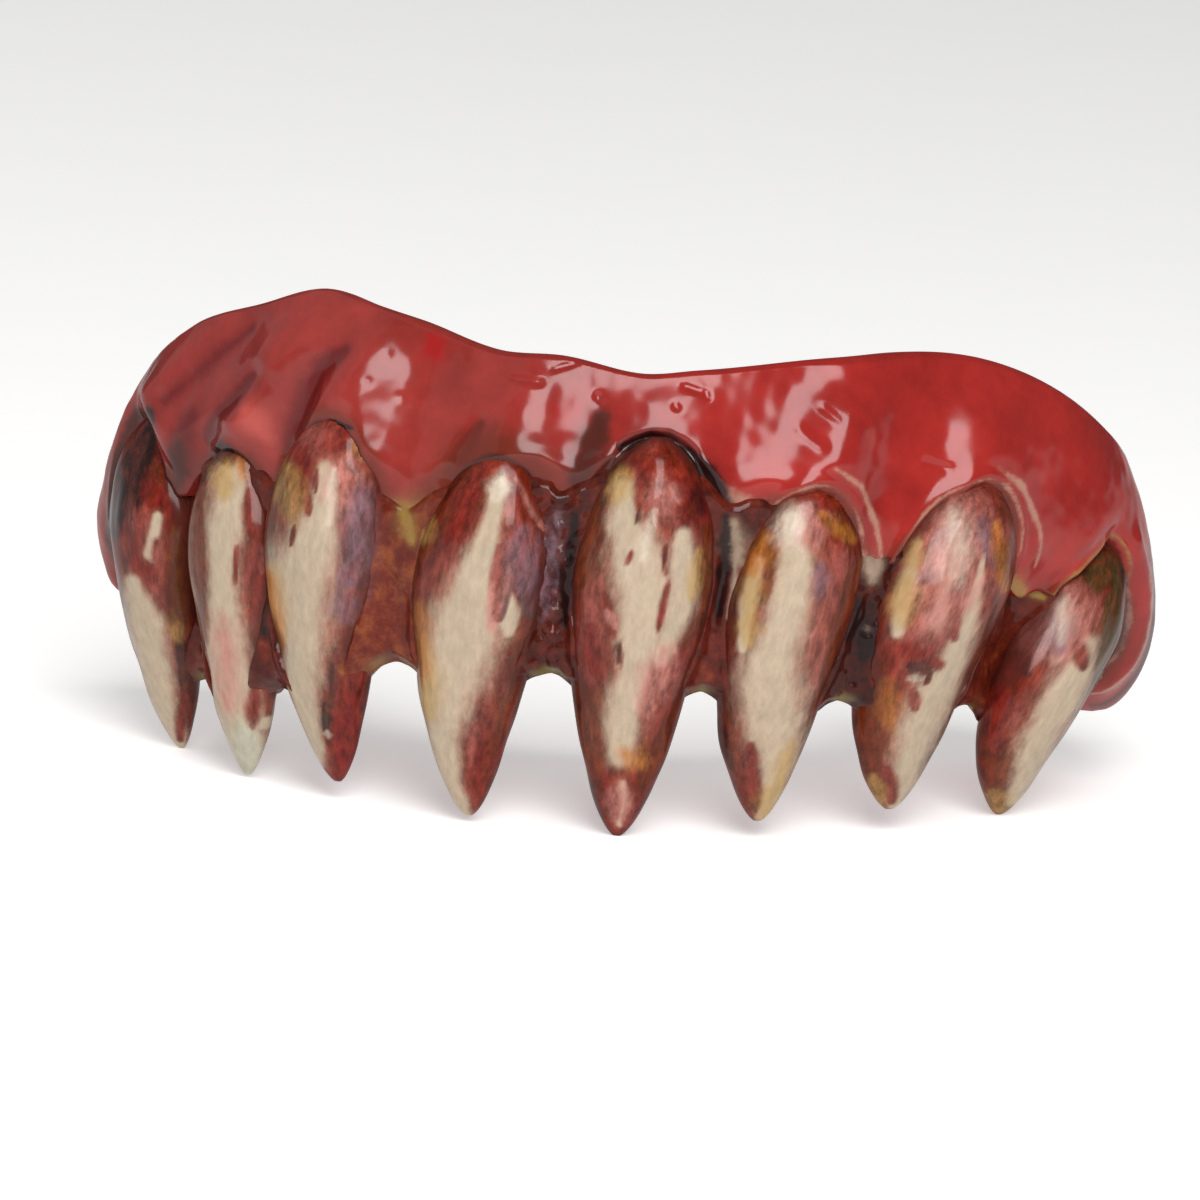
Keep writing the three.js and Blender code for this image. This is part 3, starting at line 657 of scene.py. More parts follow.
# The gum plate
gum = {
    # the upper rim and the lower hem: angle, height
    "rim": [(-86, 14), (-74, 20.8), (-62, 24.9), (-51, 26.8), (-41, 28.3), (-33, 27.9), (-27, 27.4),
            (-17, 26.3), (-9, 26.3), (.5, 25.6), (7, 25.9), (32, 26.9), (45, 26.3), (60, 23.6), (74, 19.6),
            (86, 14.6)],
    "hem": [(-86, 6.2), (-76, 9.6), (-58, 16.3), (-43, 17.4), (-26, 17.3), (-8, 19.1), (10, 19), (27, 16),
            (49, 13.5), (62, 10.5), (73, 5.4), (86, 3.1)],
    "points": (-60, -42.5, -25, -7, 10.8, 27.5, 49), "pointDrop": 0.9, "pointSpread": 2.4, "hemRise": 0.5,
    "end": 87.5, "endRound": 8, "endHeart": (-5.5, 11), "endRings": 30, "endClosed": 0.49 * math.pi,
    "stations": 500, "outerRows": 64, "outerShare": 0.97,
    # the face from the hem (0) to the rim (1)
    "foot": 0.7, "lean": 2.2, "leanPower": 1.3, "rootLevel": 1.1, "rootStart": 0.35, "valleyEnds": (40, 58),
    "rootTop": (0.65, 1), "rootFlat": 0.8, "hemTuck": 1.2, "tuckShare": 0.3,
    "lobe": 1.4, "lobeShare": 0.5, "lobeRoll": 7, "lobeStart": (54, 76), "lobeRoots": 0.4,
    "endCurl": (1.6, 3.2),  # at the left and the right end
    # the rolled collar round each fang, and the lap over the side of the first and last
    "collarLevel": 0.1, "collarReach": (-0.2, 2.2), "collarPlace": 0.6, "collarWidth": 0.3, "deepest": -2,
    "leftCheek": (70, 75), "rightCheek": (65, 70), "cheekLift": 1.1, "cheekReach": 1.3,
    # the trough behind: out of the arch, heights, and the bevel of its edges
    "rimBack": [(-0.35, 0), (-1.4, -0.3), (-1.8, -1.12)], "kneeOut": -3.4, "kneeBack": 1.6, "kneeDrop": 0.7,
    "kneeShare": 0.3, "kneeClear": 0.8, "troughFront": -6, "troughDraft": 0.2, "troughBack": -12,
    "floor": 12, "lipTop": 15, "lipBack": -13.6, "bevel": 0.7, "under": 10, "underClear": 0.3,
    "hemBack": -4.6, "hemInset": (-0.9, 0.4),
    # soft lumps and fine ripples: size and lift in mm, seed
    "relief": [(2.6, 0.05, 5), (0.7, 0.013, 6)],
    # root bulges: angle at the hem, angle at the rim, lift in mm, spread to the left and right in degrees
    "roots": [(-70, -62, .9, 5.5, 5.5), (-51, -41, 1.2, 5, 5), (-34.5, -32, 1.8, 5, 4.6),
              (-14.5, -12.5, .9, 5, 5), (2.6, 3, .5, 5.5, 5.5), (20, 26, 1.7, 4.6, 4.6),
              (39, 44, 1.7, 4.2, 9), (65, 60, .6, 7, 7)],
    # folds, wrinkles and nicks: half width in mm, lift in mm, and a path of (angle, height)
    "folds": [
        (1.0, -.45, (-34.9, 25.3), (-38, 24), (-40.3, 21), (-41.4, 19.4)),
        (.9, -.4, (-46.8, 23.2), (-49, 21.8), (-52, 20.2), (-54.5, 19)),
        (1.3, -.3, (-51, 25.4), (-57.5, 22.7), (-62, 20.6)), (2.6, -.35, (-30, 25.2), (-27, 24.4)),
        (.7, -.25, (-17.3, 22.4), (-20.3, 19.5)), (1.7, -.22, (-4, 23.2), (-5, 21.3), (-6, 19.4)),
        (.5, -.2, (-1, 21.8), (2, 22.2), (5.7, 21.5), (8, 20.1), (10, 18.2)),
        (.18, -.14, (-14.2, 25), (-11, 24.9)), (.15, -.12, (-9.7, 25.6), (-7.1, 26)),
        (.25, -.2, (-4.5, 24.3), (-4.3, 24.2)), (.18, -.15, (5.3, 25.1), (6.9, 24.9)),
        (.2, -.15, (4.3, 24.1), (4.5, 24)), (.2, -.15, (7.7, 24.8), (7.9, 24.6)),
        (.3, -.12, (18.4, 23), (20.3, 22.3)), (.25, -.1, (21, 24.2), (22.2, 23.7)),
        (.25, -.15, (34.7, 21), (36.9, 20.7)), (.2, -.07, (-27.4, 23.3), (-27.2, 23.2)),
        (.2, -.05, (-30.8, 24.1), (-30.6, 24)), (.2, -.06, (-29.7, 25.5), (-29.5, 25.4)),
        (.2, -.1, (-37.1, 22.8), (-37.3, 22.2)),
        (.8, -.4, (64.5, 15), (67.3, 13.4), (69.6, 11.4), (71, 9.4), (70.8, 7.6), (69.4, 6)),
        (.8, .3, (70, 15), (72.8, 12.6), (74.4, 10.8), (75.2, 9), (74.8, 7.4), (73.4, 5.6)),
    ],
    "leftColour": "#872C27", "rightColour": "#902420", "colourTurn": (-25, 18),
    "mottleSize": 4.17, "mottleShown": (0.3, 0.7), "mottleDark": 0.7, "mottleLight": 1.2,
    "peelSize": 0.714, "peelDepth": 0.1,
    "pigments": {
        "freshPink": pigment("#A84840", 0.8, 0.3, 0.8, 1.43),
        "brightRed": pigment("#8E1A1A", 0.85, 0.3, 0.8, 1.43),
        # deeper red in the folds and valleys: partly the gum's own colour, partly painted shade
        "deepRed": pigment("#561012", 0.8, 0.3, 0.8, 1.43),
        "rust": pigment("#5E2418", 0.8, 0.4, 1.2, 1.25),
        "ochre": pigment("#8A6A34", 0.75, 0.3, 1.4, 1.11),
        # pale lines along collars, lobe folds and fang edges: partly pale paint, partly painted highlight
        "bone": pigment("#A87C6A", 0.75, 0.4, 2.4, 1.67, wash=0.1),
        # dark brown at the fangs' edges, in folds and down the lobes: partly band-coloured stain, partly
        # painted shade
        "umber": pigment("#3E1E18", 0.88, 0.3, 1.2, 1.25),
        # black paint for the shadow in the grooves round the fangs, in the gaps and down the left lobe:
        # painted shadow
        "soot": pigment("#1C0A0B", 0.92, 0.2, 0.8, 1.11),
    },
    # paint: pigment, width in mm, cover, and a path of (angle, height). The black strokes are painted
    # shadow, the deep red and umber ones partly painted shade in folds and joints, and the bone ones partly
    # painted highlight.
    "stain": [
        ("deepRed", 1.6, 1, (-34.9, 25.3), (-38, 24), (-40.3, 21), (-41.4, 19.4)),
        ("deepRed", 1.2, 1, (-46.8, 23.2), (-49, 21.8), (-52, 20.2), (-54.5, 19)),
        ("deepRed", 1.9, .7, (-51, 25.4), (-57.5, 22.7), (-62, 20.6)),
        ("deepRed", .9, 1, (-17.3, 22.4), (-20.3, 19.5)),
        ("brightRed", 1.8, .9, (-6.9, 23.8), (-7.8, 22.8)),
        # a deeper red spot beside the rim: partly painted shade
        ("brightRed", 1.5, .9, (-25, 26.4), (-24, 25.7)),
        ("freshPink", 2.4, .75, (-46.3, 21.4), (-44, 20)),
        ("umber", 1.8, 1, (-4, 23.2), (-5, 21.3), (-6, 19.4)),
        ("soot", .8, 1, (-1.5, 21.8), (2, 22.4), (5.7, 21.7)),
        ("soot", 1.2, 1, (5.7, 21.7), (8.2, 20.5), (10.2, 18.6), (11.4, 16.2)),
        ("bone", .25, .9, (3.4, 22.4), (6.9, 21.3), (9.5, 19.4), (11, 17)),
        ("soot", 2.4, .95, (-64, 19.4), (-66, 17.8), (-71, 15.5), (-75, 11)),
        ("umber", 2.2, .9, (-70, 16), (-77, 10)), ("soot", .8, .85, (-52.5, 18.6), (-49, 18.9)),
        ("deepRed", 2.4, .85, (-56.5, 20.2), (-60, 17)), ("umber", 1.7, .85, (-58.5, 18.4), (-60.5, 16)),
        ("soot", .4, .9, (-34.5, 21.6), (-31.5, 21.5)), ("ochre", 1.4, .8, (-27, 17.4), (-22, 17.4)),
        ("bone", 1.4, .9, (10.6, 19.5), (12.5, 17.8)), ("bone", 1.3, .9, (25.4, 16.4), (27, 15.3)),
        ("ochre", 1.3, .8, (46, 14), (50, 13.4)),
        ("bone", .4, .85, (21.5, 21.2), (25, 20.1), (27.6, 17.9), (28.6, 15.8)),
        ("bone", .45, .85, (42.5, 20.7), (46.6, 19.5), (49.7, 17.2), (50.8, 14.8)),
        ("umber", 1.2, .9, (64.5, 15), (67.3, 13.4), (69.6, 11.4), (71, 9.4), (70.8, 7.6), (69.4, 6)),
        ("bone", .4, .9, (68, 13.2), (70, 11.8), (71.6, 10), (71.8, 8.4), (71, 7)),
        ("bone", .5, .9, (72.6, 13), (74.6, 11), (75.4, 9), (75, 7.2), (73.6, 5.8)),
        ("umber", .9, .85, (76, 15), (78.6, 12.4), (79.6, 9.6), (79, 7), (77.4, 5)),
        ("deepRed", 4.5, .7, (77, 14), (79, 10), (78.5, 5)),
        ("rust", 2, .8, (70.4, 11), (72, 8), (70.6, 5.4)),
    ],
    # stain round each fang, its dark rings partly painted shade at the fang's edge and its pale rings partly
    # painted
    # highlight on the collar: fang, pigment, distance from the fang's edge and width in mm, cover
    "collarPaint": [
        (0, "umber", .3, 1.2, .85), (1, "umber", .2, .9, .9), (2, "umber", .1, .5, .8),
        (2, "rust", .6, .8, .7), (3, "rust", .8, 1.9, .95), (3, "umber", .1, .5, .85),
        (4, "umber", .5, 1.2, .85), (5, "rust", .15, .7, 1), (5, "bone", .5, .25, .65),
        (6, "rust", .1, .7, 1), (6, "bone", .5, .25, .7), (7, "umber", .1, .6, .8),
        (7, "ochre", .7, .3, .7),
    ],
    "paintWander": 0.1, "wanderSize": 3, "wanderSeed": 8,
    "hemRust": 1.3, "hemRustHeight": 2.2, "hemRustMargin": 0.5,
}
hemCurve, rimAt = curveThrough(gum["hem"]), curveThrough(gum["rim"])


# the hem dips to a point between each two fangs
def hemAt(angle):
    dips = sum(bell(angle, middle, gum["pointSpread"]) for middle in gum["points"])
    return hemCurve(angle) + gum["hemRise"] - gum["pointDrop"] * dips


# how far the gum face stands out of the arch, from the hem (0) to the rim (1)
def gumFace(angle, share):
    lean = gum["foot"] - gum["lean"] * np.clip(share, 0, 1) ** gum["leanPower"]
    rising = smoothStep(share, 0, gum["rootStart"])
    roots = 0
    for foot, top, lift, leftSpread, rightSpread in gum["roots"]:
        offset = angle - foot - (top - foot) * share
        roots = roots + lift * bell(offset, 0, np.where(offset < 0, leftSpread, rightSpread))
    roots = roots * (1 - gum["rootFlat"] * smoothStep(share, *gum["rootTop"]))
    roots = (roots - gum["rootLevel"] * (1 - smoothStep(np.abs(angle), *gum["valleyEnds"]))) * rising
    tuck = gum["hemTuck"] * (1 - smoothStep(share, 0, gum["tuckShare"]))
    # the ends swell into a lobe that curls under at the foot and rolls back to the rim
    low, high = np.clip(1 - share / gum["lobeShare"], 0, 1), np.clip(share - gum["lobeShare"], 0, 1)
    curl = np.where(angle < 0, *gum["endCurl"]) * (1 - np.sqrt(1 - low ** 2))
    lobe = gum["lobe"] - curl - gum["lobeRoll"] * high ** 2
    ends = smoothStep(np.abs(angle), *gum["lobeStart"])
    return (lean + roots - tuck) * (1 - ends) + (lobe + gum["lobeRoots"] * roots) * ends


# the gum's margins are traced on the arch itself
def archFace(angle, height):
    return np.zeros(np.shape(angle))


# rounds the corners of each section's open line, ends kept
def roundLine(line):
    rounds, corner = 2, 0.25
    for _ in range(rounds):
        near, far = line[:, :-1], line[:, 1:]
        cut = np.stack([(1 - corner) * near + corner * far, corner * near + (1 - corner) * far], 2)
        line = np.concatenate([line[:, :1], cut.reshape(len(line), -1, 2), line[:, -1:]], 1)
    return line


# the back of each section: over the rim, down into the trough, over its inner lip and back under to the hem
def troughLine(angle, rim, hem, out, height):
    floor, bevel, lipTop, lipBack = gum["floor"], gum["bevel"], gum["lipTop"], gum["lipBack"]
    front, back = gum["troughFront"], gum["troughBack"]
    low = front - gum["troughDraft"]
    under = np.minimum(gum["under"], hem - gum["underClear"])
    kneeLow = np.maximum(hem + gum["kneeClear"], floor + (rim - floor) * gum["kneeShare"])
    kneeHigh = (kneeLow + rim - gum["kneeDrop"]) / 2
    rimOut = gumFace(angle, 1.0)
    insetOut, insetBack = gum["hemInset"]
    line = [(out[:, -1:], height[:, -1:])]
    line += [(rimOut + backwards, rim + upwards) for backwards, upwards in gum["rimBack"]]
    line += [
        (np.minimum(gum["kneeOut"], rimOut - gum["kneeBack"]), kneeHigh), (front, kneeLow),
        (low, floor + bevel), (low - bevel, floor), (back + bevel, floor), (back, floor + bevel),
        (back, lipTop - bevel), ((back + lipBack) / 2, lipTop), (lipBack, lipTop - bevel),
        (lipBack, under + bevel), (lipBack + bevel, under), (gum["hemBack"], under), (gum["hemBack"], hem),
        (np.minimum(insetOut, out[:, :1] - insetBack), hem), (out[:, :1], height[:, :1]),
    ]
    sides = [np.concatenate([np.broadcast_to(pair[i], angle.shape) for pair in line], 1) for i in (0, 1)]
    return roundLine(np.stack(sides, -1))[:, 1:-1]


# Heat-cured gum acrylic, cast over carved wax, tinted by hand and lacquered: deep red with a wet gloss.
def makeGumAcrylic():
    material, tree = startMaterial("gumAcrylic")
    place = addNode(tree, "TexCoord").outputs["Object"]
    side = addNode(tree, "Attribute", attribute_name="rightSide").outputs["Fac"]
    colour = addNode(tree, "Mix", {
        mixFactor: side, mixFrom: toLinear(gum["leftColour"]), mixTo: toLinear(gum["rightColour"]),
    }, data_type="RGBA").outputs[mixResult]
    mottle = addNode(tree, "TexNoise", {
        "Vector": place, "Scale": patternScale(gum["mottleSize"]), "Detail": 7.0, "Roughness": 0.66,
    }).outputs["Fac"]
    shade = addNode(tree, "MapRange", {
        "Value": mottle, "From Min": gum["mottleShown"][0], "From Max": gum["mottleShown"][1],
        "To Min": gum["mottleDark"], "To Max": gum["mottleLight"],
    }).outputs[0]
    colour = addNode(tree, "Mix", {
        mixFactor: 1.0, mixFrom: colour, mixTo: shade,
    }, data_type="RGBA", blend_type="MULTIPLY").outputs[mixResult]
    colour = layPigments(tree, colour, gum["pigments"], place)
    peel = addNode(tree, "TexNoise", {
        "Vector": place, "Scale": patternScale(gum["peelSize"]), "Detail": 3.0,
    }).outputs["Fac"]
    bump = addNode(tree, "Bump", {"Height": peel, "Strength": 0.2, "Distance": gum["peelDepth"] * mm})
    surface = addNode(tree, "BsdfPrincipled", {
        "Base Color": colour, "Roughness": 0.4, "IOR": 1.49, "Specular IOR Level": 0.0, "Coat Weight": 0.5,
        "Coat Roughness": 0.16, "Coat IOR": 1.55, "Normal": bump.outputs[0],
    })
    addNode(tree, "OutputMaterial", {"Surface": surface.outputs[0]})
    return material


def buildGum(material):
    # even stations round the arch, and rings that draw in to close both ends
    bend = np.linspace(0, gum["endClosed"], gum["endRings"] + 1)[1:]
    straight = gum["end"] - gum["endRound"]
    closing = straight + gum["endRound"] * np.sin(bend)
    even = np.linspace(-straight, straight, gum["stations"])
    angle = np.concatenate([-closing[::-1], even, closing])[:, None]
    scale = np.concatenate([np.cos(bend)[::-1], np.ones(gum["stations"]), np.cos(bend)])
    rim, hem = rimAt(angle), hemAt(angle)
    share = np.linspace(0, gum["outerShare"], gum["outerRows"])[None, :]
    height = hem + (rim - hem) * share
    out = gumFace(angle, share)
    wide = np.broadcast_to(angle, height.shape)
    # the gum comes down to each fang in a rolled collar, and passes behind it
    margin, owner = fangMargin(wide, height, archFace)
    collar = np.array([fang["collar"] for fang in fangs])[owner]
    # at both ends it laps over the side of the last fang
    cheek = smoothStep(-wide, *gum["leftCheek"]) + smoothStep(wide, *gum["rightCheek"])
    margin = margin + gum["cheekReach"] * cheek
    level = np.minimum(out, gum["collarLevel"] + gum["cheekLift"] * cheek)
    out = level + (out - level) * smoothStep(margin, *gum["collarReach"])
    out = out + collar * bell(margin, gum["collarPlace"], gum["collarWidth"])
    hidden = np.maximum(hiddenFace(wide, height, margin), gum["deepest"])
    out = np.where(margin < 0, np.minimum(out, hidden), out)
    arc = wide * arcPerDegree
    for width, lift, *path in gum["folds"]:
        out = out + lift * bell(lineDistance(arc, height, layFlat(path)), 0, width)
    flat = np.stack([arc, height, 0 * arc], -1)
    for size, lift, seed in gum["relief"]:
        out = out + lift * lumps(flat, size, seed)

    line = troughLine(angle, rim, hem, out, height)
    section = np.concatenate([np.stack([out, height], -1), line], 1)
    heart = np.array(gum["endHeart"])
    section = heart + (section - heart) * scale[:, None, None]
    points = onArch(angle, section[..., 0], 0, section[..., 1])

    # paint, given on the outer face only
    strokes = [(name, width, cover, *layFlat(path)) for name, width, cover, *path in gum["stain"]]
    masks = brushPaint(arc, height, strokes, gum["pigments"])
    wander = margin + gum["paintWander"] * lumps(flat, gum["wanderSize"], gum["wanderSeed"])
    for number, name, away, width, cover in gum["collarPaint"]:
        ring = np.clip(cover - np.abs(wander - away) / width, noPaint, 1)
        masks[name] = np.maximum(masks[name], np.where(owner == number, ring, noPaint))
    low = gum["hemRust"] - (height - hem) / gum["hemRustHeight"] - gum["hemRustMargin"] * margin
    masks["rust"] = np.maximum(masks["rust"], np.clip(low, noPaint, 1))
    backRows = line.shape[1]
    for name in masks:
        masks[name] = np.pad(masks[name], ((0, 0), (0, backRows)), constant_values=noPaint)
    masks["rightSide"] = np.repeat(smoothStep(angle, *gum["colourTurn"]), section.shape[1], 1)
    faces = ringFaces(len(points), section.shape[1])
    makePiece("gumPlate", "gum_plate", material, points, faces, masks)


buildGum(makeGumAcrylic())
print("gum plate built")


# The band between and behind the fangs
band = {
    "start": -80, "end": 71, "startFade": 4, "endFade": 5, "stations": 560, "frontRows": 56,
    "front": -1.1, "back": -4.3, "lap": 1.2, "leastHeight": 1.4, "rise": 0.9, "riseReach": (-5, -0.6),
    # the lower edge: angle, height, with an arch between each two fangs
    "edge": [(-80, 7), (-60, 4.9), (-50, 6), (-43, 6.4), (-27, 8.8), (-9, 9.2), (9, 8.8), (41, 7.4),
             (71, 5.2)],
    "edgeArch": 1.2, "edgeSpread": 5, "edgeRound": (0.9, 1.1), "topRound": 0.9, "topReach": (0.2, 1.2),
    # deep joints beside the first and last fangs
    "crevice": 1.1, "crevices": (-61, 50), "creviceSpread": 4,
    # fillets against the fangs
    "filletDrop": 0.8, "filletReach": 0.9, "fillet": 0.7, "filletFoot": (0.3, 2), "filletTop": (1, 4),
    "filletFade": 0.6, "filletInside": (0.1, 0.7), "overlap": 0.15, "deepest": -3,
    # granules of dried stain: angle and share of them, and soft dents, sizes and lifts in mm
    "granules": [(-8.3, 1), (27, 0.5)], "granuleSpread": 3, "granuleSize": 0.4, "granuleLift": 0.12,
    "granuleLeast": 0.03, "granuleSeed": 15, "dentSize": 1.4, "dentLift": 0.08, "dentSeed": 16,
    # rows of the back, from the top (1) to the foot (0), with how far each stands forward
    "backRows": [(1, 0), (0.85, 0), (0.6, 0), (0.3, 0), (0.08, 0.3), (0, 1.2)], "backClear": 0.25,
    "backRipple": 0.06, "rippleTurn": 2.1,
    # how rusty the stain is round the arch, from black-brown (0) to orange-brown (1)
    "rust": [(-80, .3), (-60, .35), (-43, .3), (-27, .6), (-18, .4), (-9, .2), (9, .3), (20, .1), (29, 0),
             (42, .4), (51, .35), (71, .4)],
    "tones": [(0, "#1E0A08"), (0.3, "#3E120B"), (0.6, "#601F12"), (1, "#8A4A24")], "tonesShown": (0.6, 2.0),
    "poolSize": 1.11, "poolDark": 1.8, "poolDepth": 0.2,
    "edgeColour": "#7E7040", "edgeCover": 0.7, "edgeClear": (0.2, 1.2), "edgeHeight": (0.1, 0.8),
    "edgePatch": 1.2, "edgeSeed": 19, "edgeShown": (-0.6, 0.4),
    "pigments": {
        "ochre": pigment("#866A34", 0.8, 0.3, 1.6, 1.11),
        # a purple-grey glaze over the granules: painted sheen
        "lilac": pigment("#6A525A", 0.85, 0.4, 2.4, 0.625),
        # pale marks in the gaps beside the fangs: partly pale paint, partly painted highlight
        "bone": pigment("#94806E", 0.8, 0.4, 1.6, 0.909),
        # black paint for the shadow in the gaps beside the fangs: painted shadow
        "soot": pigment("#180B0B", 0.9, 0.3, 1.6, 1.11),
    },
    # paint: pigment, width in mm, cover, and a path of (angle, height). The black strokes are painted shadow
    # in the gaps beside the fangs, the bone ones partly painted highlight, and the lilac ones painted sheen.
    "stain": [
        ("ochre", 1.1, .9, (-25.4, 17.4), (-24, 15.8)), ("ochre", .5, .8, (-22.6, 16.4), (-22.6, 14.6)),
        ("lilac", 1.7, .5, (-7.8, 18), (-8.6, 15), (-8.8, 12.5)), ("soot", .6, 1, (-6, 18), (-6.6, 12)),
        ("soot", .5, 1, (-10.4, 17), (-11, 12)), ("soot", .7, 1, (10.2, 18.4), (10.4, 16), (10.2, 13)),
        ("bone", .3, .9, (11.2, 17.6), (11.6, 16), (11.5, 14.4), (11.1, 12.8)),
        ("bone", 1, 1, (27, 16.6), (27.4, 15)), ("bone", 1.1, .9, (11, 18), (11.8, 16)),
        ("soot", 1.6, .9, (25.6, 13.6), (27.6, 11)), ("bone", .4, 1, (27.3, 12.2), (27.4, 12)),
        ("lilac", 1.6, .55, (-29.3, 18), (-29.6, 15), (-30.2, 12)),
        ("ochre", .5, 1, (48.5, 14.2), (54, 12.8)), ("soot", 1, .8, (-44, 14), (-43.5, 9)),
    ],
}
edgeAt, rustAt = curveThrough(band["edge"]), curveThrough(band["rust"])


# Tooth acrylic left rough from the carving, with dark stain pooled in its pits under a thick gloss.
def makeBandAcrylic():
    material, tree = startMaterial("bandAcrylic")
    place = addNode(tree, "TexCoord").outputs["Object"]
    rust = addNode(tree, "Attribute", attribute_name="rust").outputs["Fac"]
    pool = addNode(tree, "TexNoise", {
        "Vector": place, "Scale": patternScale(band["poolSize"]), "Detail": 6.0, "Roughness": 0.65,
    }).outputs["Fac"]
    blend = addNode(tree, "Math", {0: pool, 1: band["poolDark"], 2: rust}, operation="MULTIPLY_ADD")
    tone = addNode(tree, "MapRange", {
        "Value": blend.outputs[0], "From Min": band["tonesShown"][0], "From Max": band["tonesShown"][1],
    }).outputs[0]
    ramp = addNode(tree, "ValToRGB", {"Fac": tone})
    setTones(ramp.color_ramp, band["tones"])
    colour = layPigments(tree, ramp.outputs["Color"], band["pigments"], place)
    lowerEdge = addNode(tree, "Attribute", attribute_name="lowerEdge").outputs["Fac"]
    colour = addNode(tree, "Mix", {
        mixFactor: lowerEdge, mixFrom: colour, mixTo: toLinear(band["edgeColour"]),
    }, data_type="RGBA").outputs[mixResult]
    bump = addNode(tree, "Bump", {"Height": pool, "Strength": 0.3, "Distance": band["poolDepth"] * mm})
    surface = addNode(tree, "BsdfPrincipled", {
        "Base Color": colour, "Roughness": 0.4, "IOR": 1.49, "Specular IOR Level": 0.06, "Coat Weight": 0.3,
        "Coat Roughness": 0.14, "Normal": bump.outputs[0],
    })
    addNode(tree, "OutputMaterial", {"Surface": surface.outputs[0]})
    return material


# the deep joints beside the first and last fangs, 1 in the middle
def creviceAt(angle):
    return sum(bell(angle, middle, band["creviceSpread"]) for middle in band["crevices"])


# how far out the band's face lies between the fangs: set back low down, and flush with the gum at the hem
def bandFace(angle, height):
    rise = band["rise"] * smoothStep(height - hemAt(angle), *band["riseReach"])
    return band["front"] - band["crevice"] * creviceAt(angle) + rise


def buildBand(material):
    angle = np.linspace(band["start"], band["end"], band["stations"])[:, None]
    nearness = sum(bell(angle, fang["tipAngle"], band["edgeSpread"]) for fang in fangs)
    hem = hemAt(angle)
    top = hem + band["lap"]
    highest = top - band["leastHeight"]
    foot = np.minimum(edgeAt(angle) - band["edgeArch"] * np.minimum(1, nearness), highest)
    ending = smoothStep(band["start"] + band["startFade"] - angle, 0, band["startFade"])
    ending = ending + smoothStep(angle - band["end"] + band["endFade"], 0, band["endFade"])
    foot = foot + (highest - foot) * ending
    footMargin, _ = fangMargin(angle, foot, bandFace)
    foot = foot - band["filletDrop"] * np.exp(-np.clip(footMargin, 0, None) / band["filletReach"])
    height = foot + (top - foot) * np.linspace(0, 1, band["frontRows"])[None, :]
    wide = np.broadcast_to(angle, height.shape)
    margin, _ = fangMargin(wide, height, bandFace)
    fillet = band["fillet"] * np.exp(-np.clip(margin, 0, None) / band["filletFade"])
    fillet = fillet * smoothStep(height - foot, *band["filletFoot"])
    fillet = fillet * smoothStep(hem - height, *band["filletTop"])
    fillet = fillet * (1 - smoothStep(-margin, *band["filletInside"])) * (1 - creviceAt(wide))
    out = bandFace(wide, height) + fillet
    hidden = np.maximum(hiddenFace(wide, height, margin) + fillet, band["deepest"])
    out = np.where(margin < -band["overlap"], np.minimum(out, hidden), out)
    # granules where the stain dried thick, and soft dents
    flat = np.stack([wide * arcPerDegree, height, 0 * height], -1)
    grains = sum(part * bell(wide, middle, band["granuleSpread"]) for middle, part in band["granules"])
    grains = band["granuleLeast"] + band["granuleLift"] * grains
    out = out + grains * lumps(flat, band["granuleSize"], band["granuleSeed"])
    out = out + band["dentLift"] * lumps(flat, band["dentSize"], band["dentSeed"])
    # both edges are rounded off
    roundOff, roundHeight = band["edgeRound"]
    out = out - roundOff * (1 - smoothStep(height - foot, 0, roundHeight)) ** 2
    out = out - band["topRound"] * smoothStep(height - hem, *band["topReach"])
    backPart, backForward = np.array(band["backRows"]).T[:, None, :]
    backHeight = foot + band["backClear"] + (top - foot - band["backClear"]) * backPart
    backOut = band["back"] + backForward + band["backRipple"] * np.sin(backHeight * band["rippleTurn"])
    section = np.concatenate([np.stack([out, height], -1), np.stack([backOut, backHeight], -1)], 1)
    points = onArch(angle, section[..., 0], 0, section[..., 1])
    arc = np.broadcast_to(angle, section.shape[:2]) * arcPerDegree
    strokes = [(name, width, cover, *layFlat(path)) for name, width, cover, *path in band["stain"]]
    masks = brushPaint(arc, section[..., 1], strokes, band["pigments"])
    masks["rust"] = np.repeat(rustAt(angle), section.shape[1], 1)
    # ochre caught along the lower edge
    low = 1 - smoothStep(section[..., 1] - foot, *band["edgeHeight"])
    patches = smoothStep(lumps(points, band["edgePatch"], band["edgeSeed"]), *band["edgeShown"])
    masks["lowerEdge"] = band["edgeCover"] * smoothStep(footMargin, *band["edgeClear"]) * low * patches
    faces = ringFaces(band["stations"], section.shape[1])
    makePiece("toothBand", "tooth_band", material, points, faces, masks)


buildBand(makeBandAcrylic())
print("band built")


# The studio: soft light from the front and the left, paper floor, long lens
studio = {
    "softbox": {"azimuth": 8, "elevation": 36, "distance": 0.6, "width": 0.28, "height": 0.48, "power": 4.4},
    "fill": {"azimuth": -92, "elevation": 30, "distance": 0.7, "width": 1.2, "height": 1.2, "power": 2.2},
    "lightTarget": (0, 0, 0.015), "worldStrength": 0.12,
    "floorRadius": 3.0, "floorSides": 64, "floorColour": "#F4F3F1", "floorGlow": 0.4,
    "fibreClouds": 16.7, "fibreTint": (0.97, 1.0),  # clouds in mm across, and their shades
    # the camera, in mm and degrees
    "target": (-1.632, 0.618, 11.0), "elevation": 11, "roll": 3.2, "distance": 450, "lens": 244.2,
    "sensor": 36, "clip": (10, 50000),
}


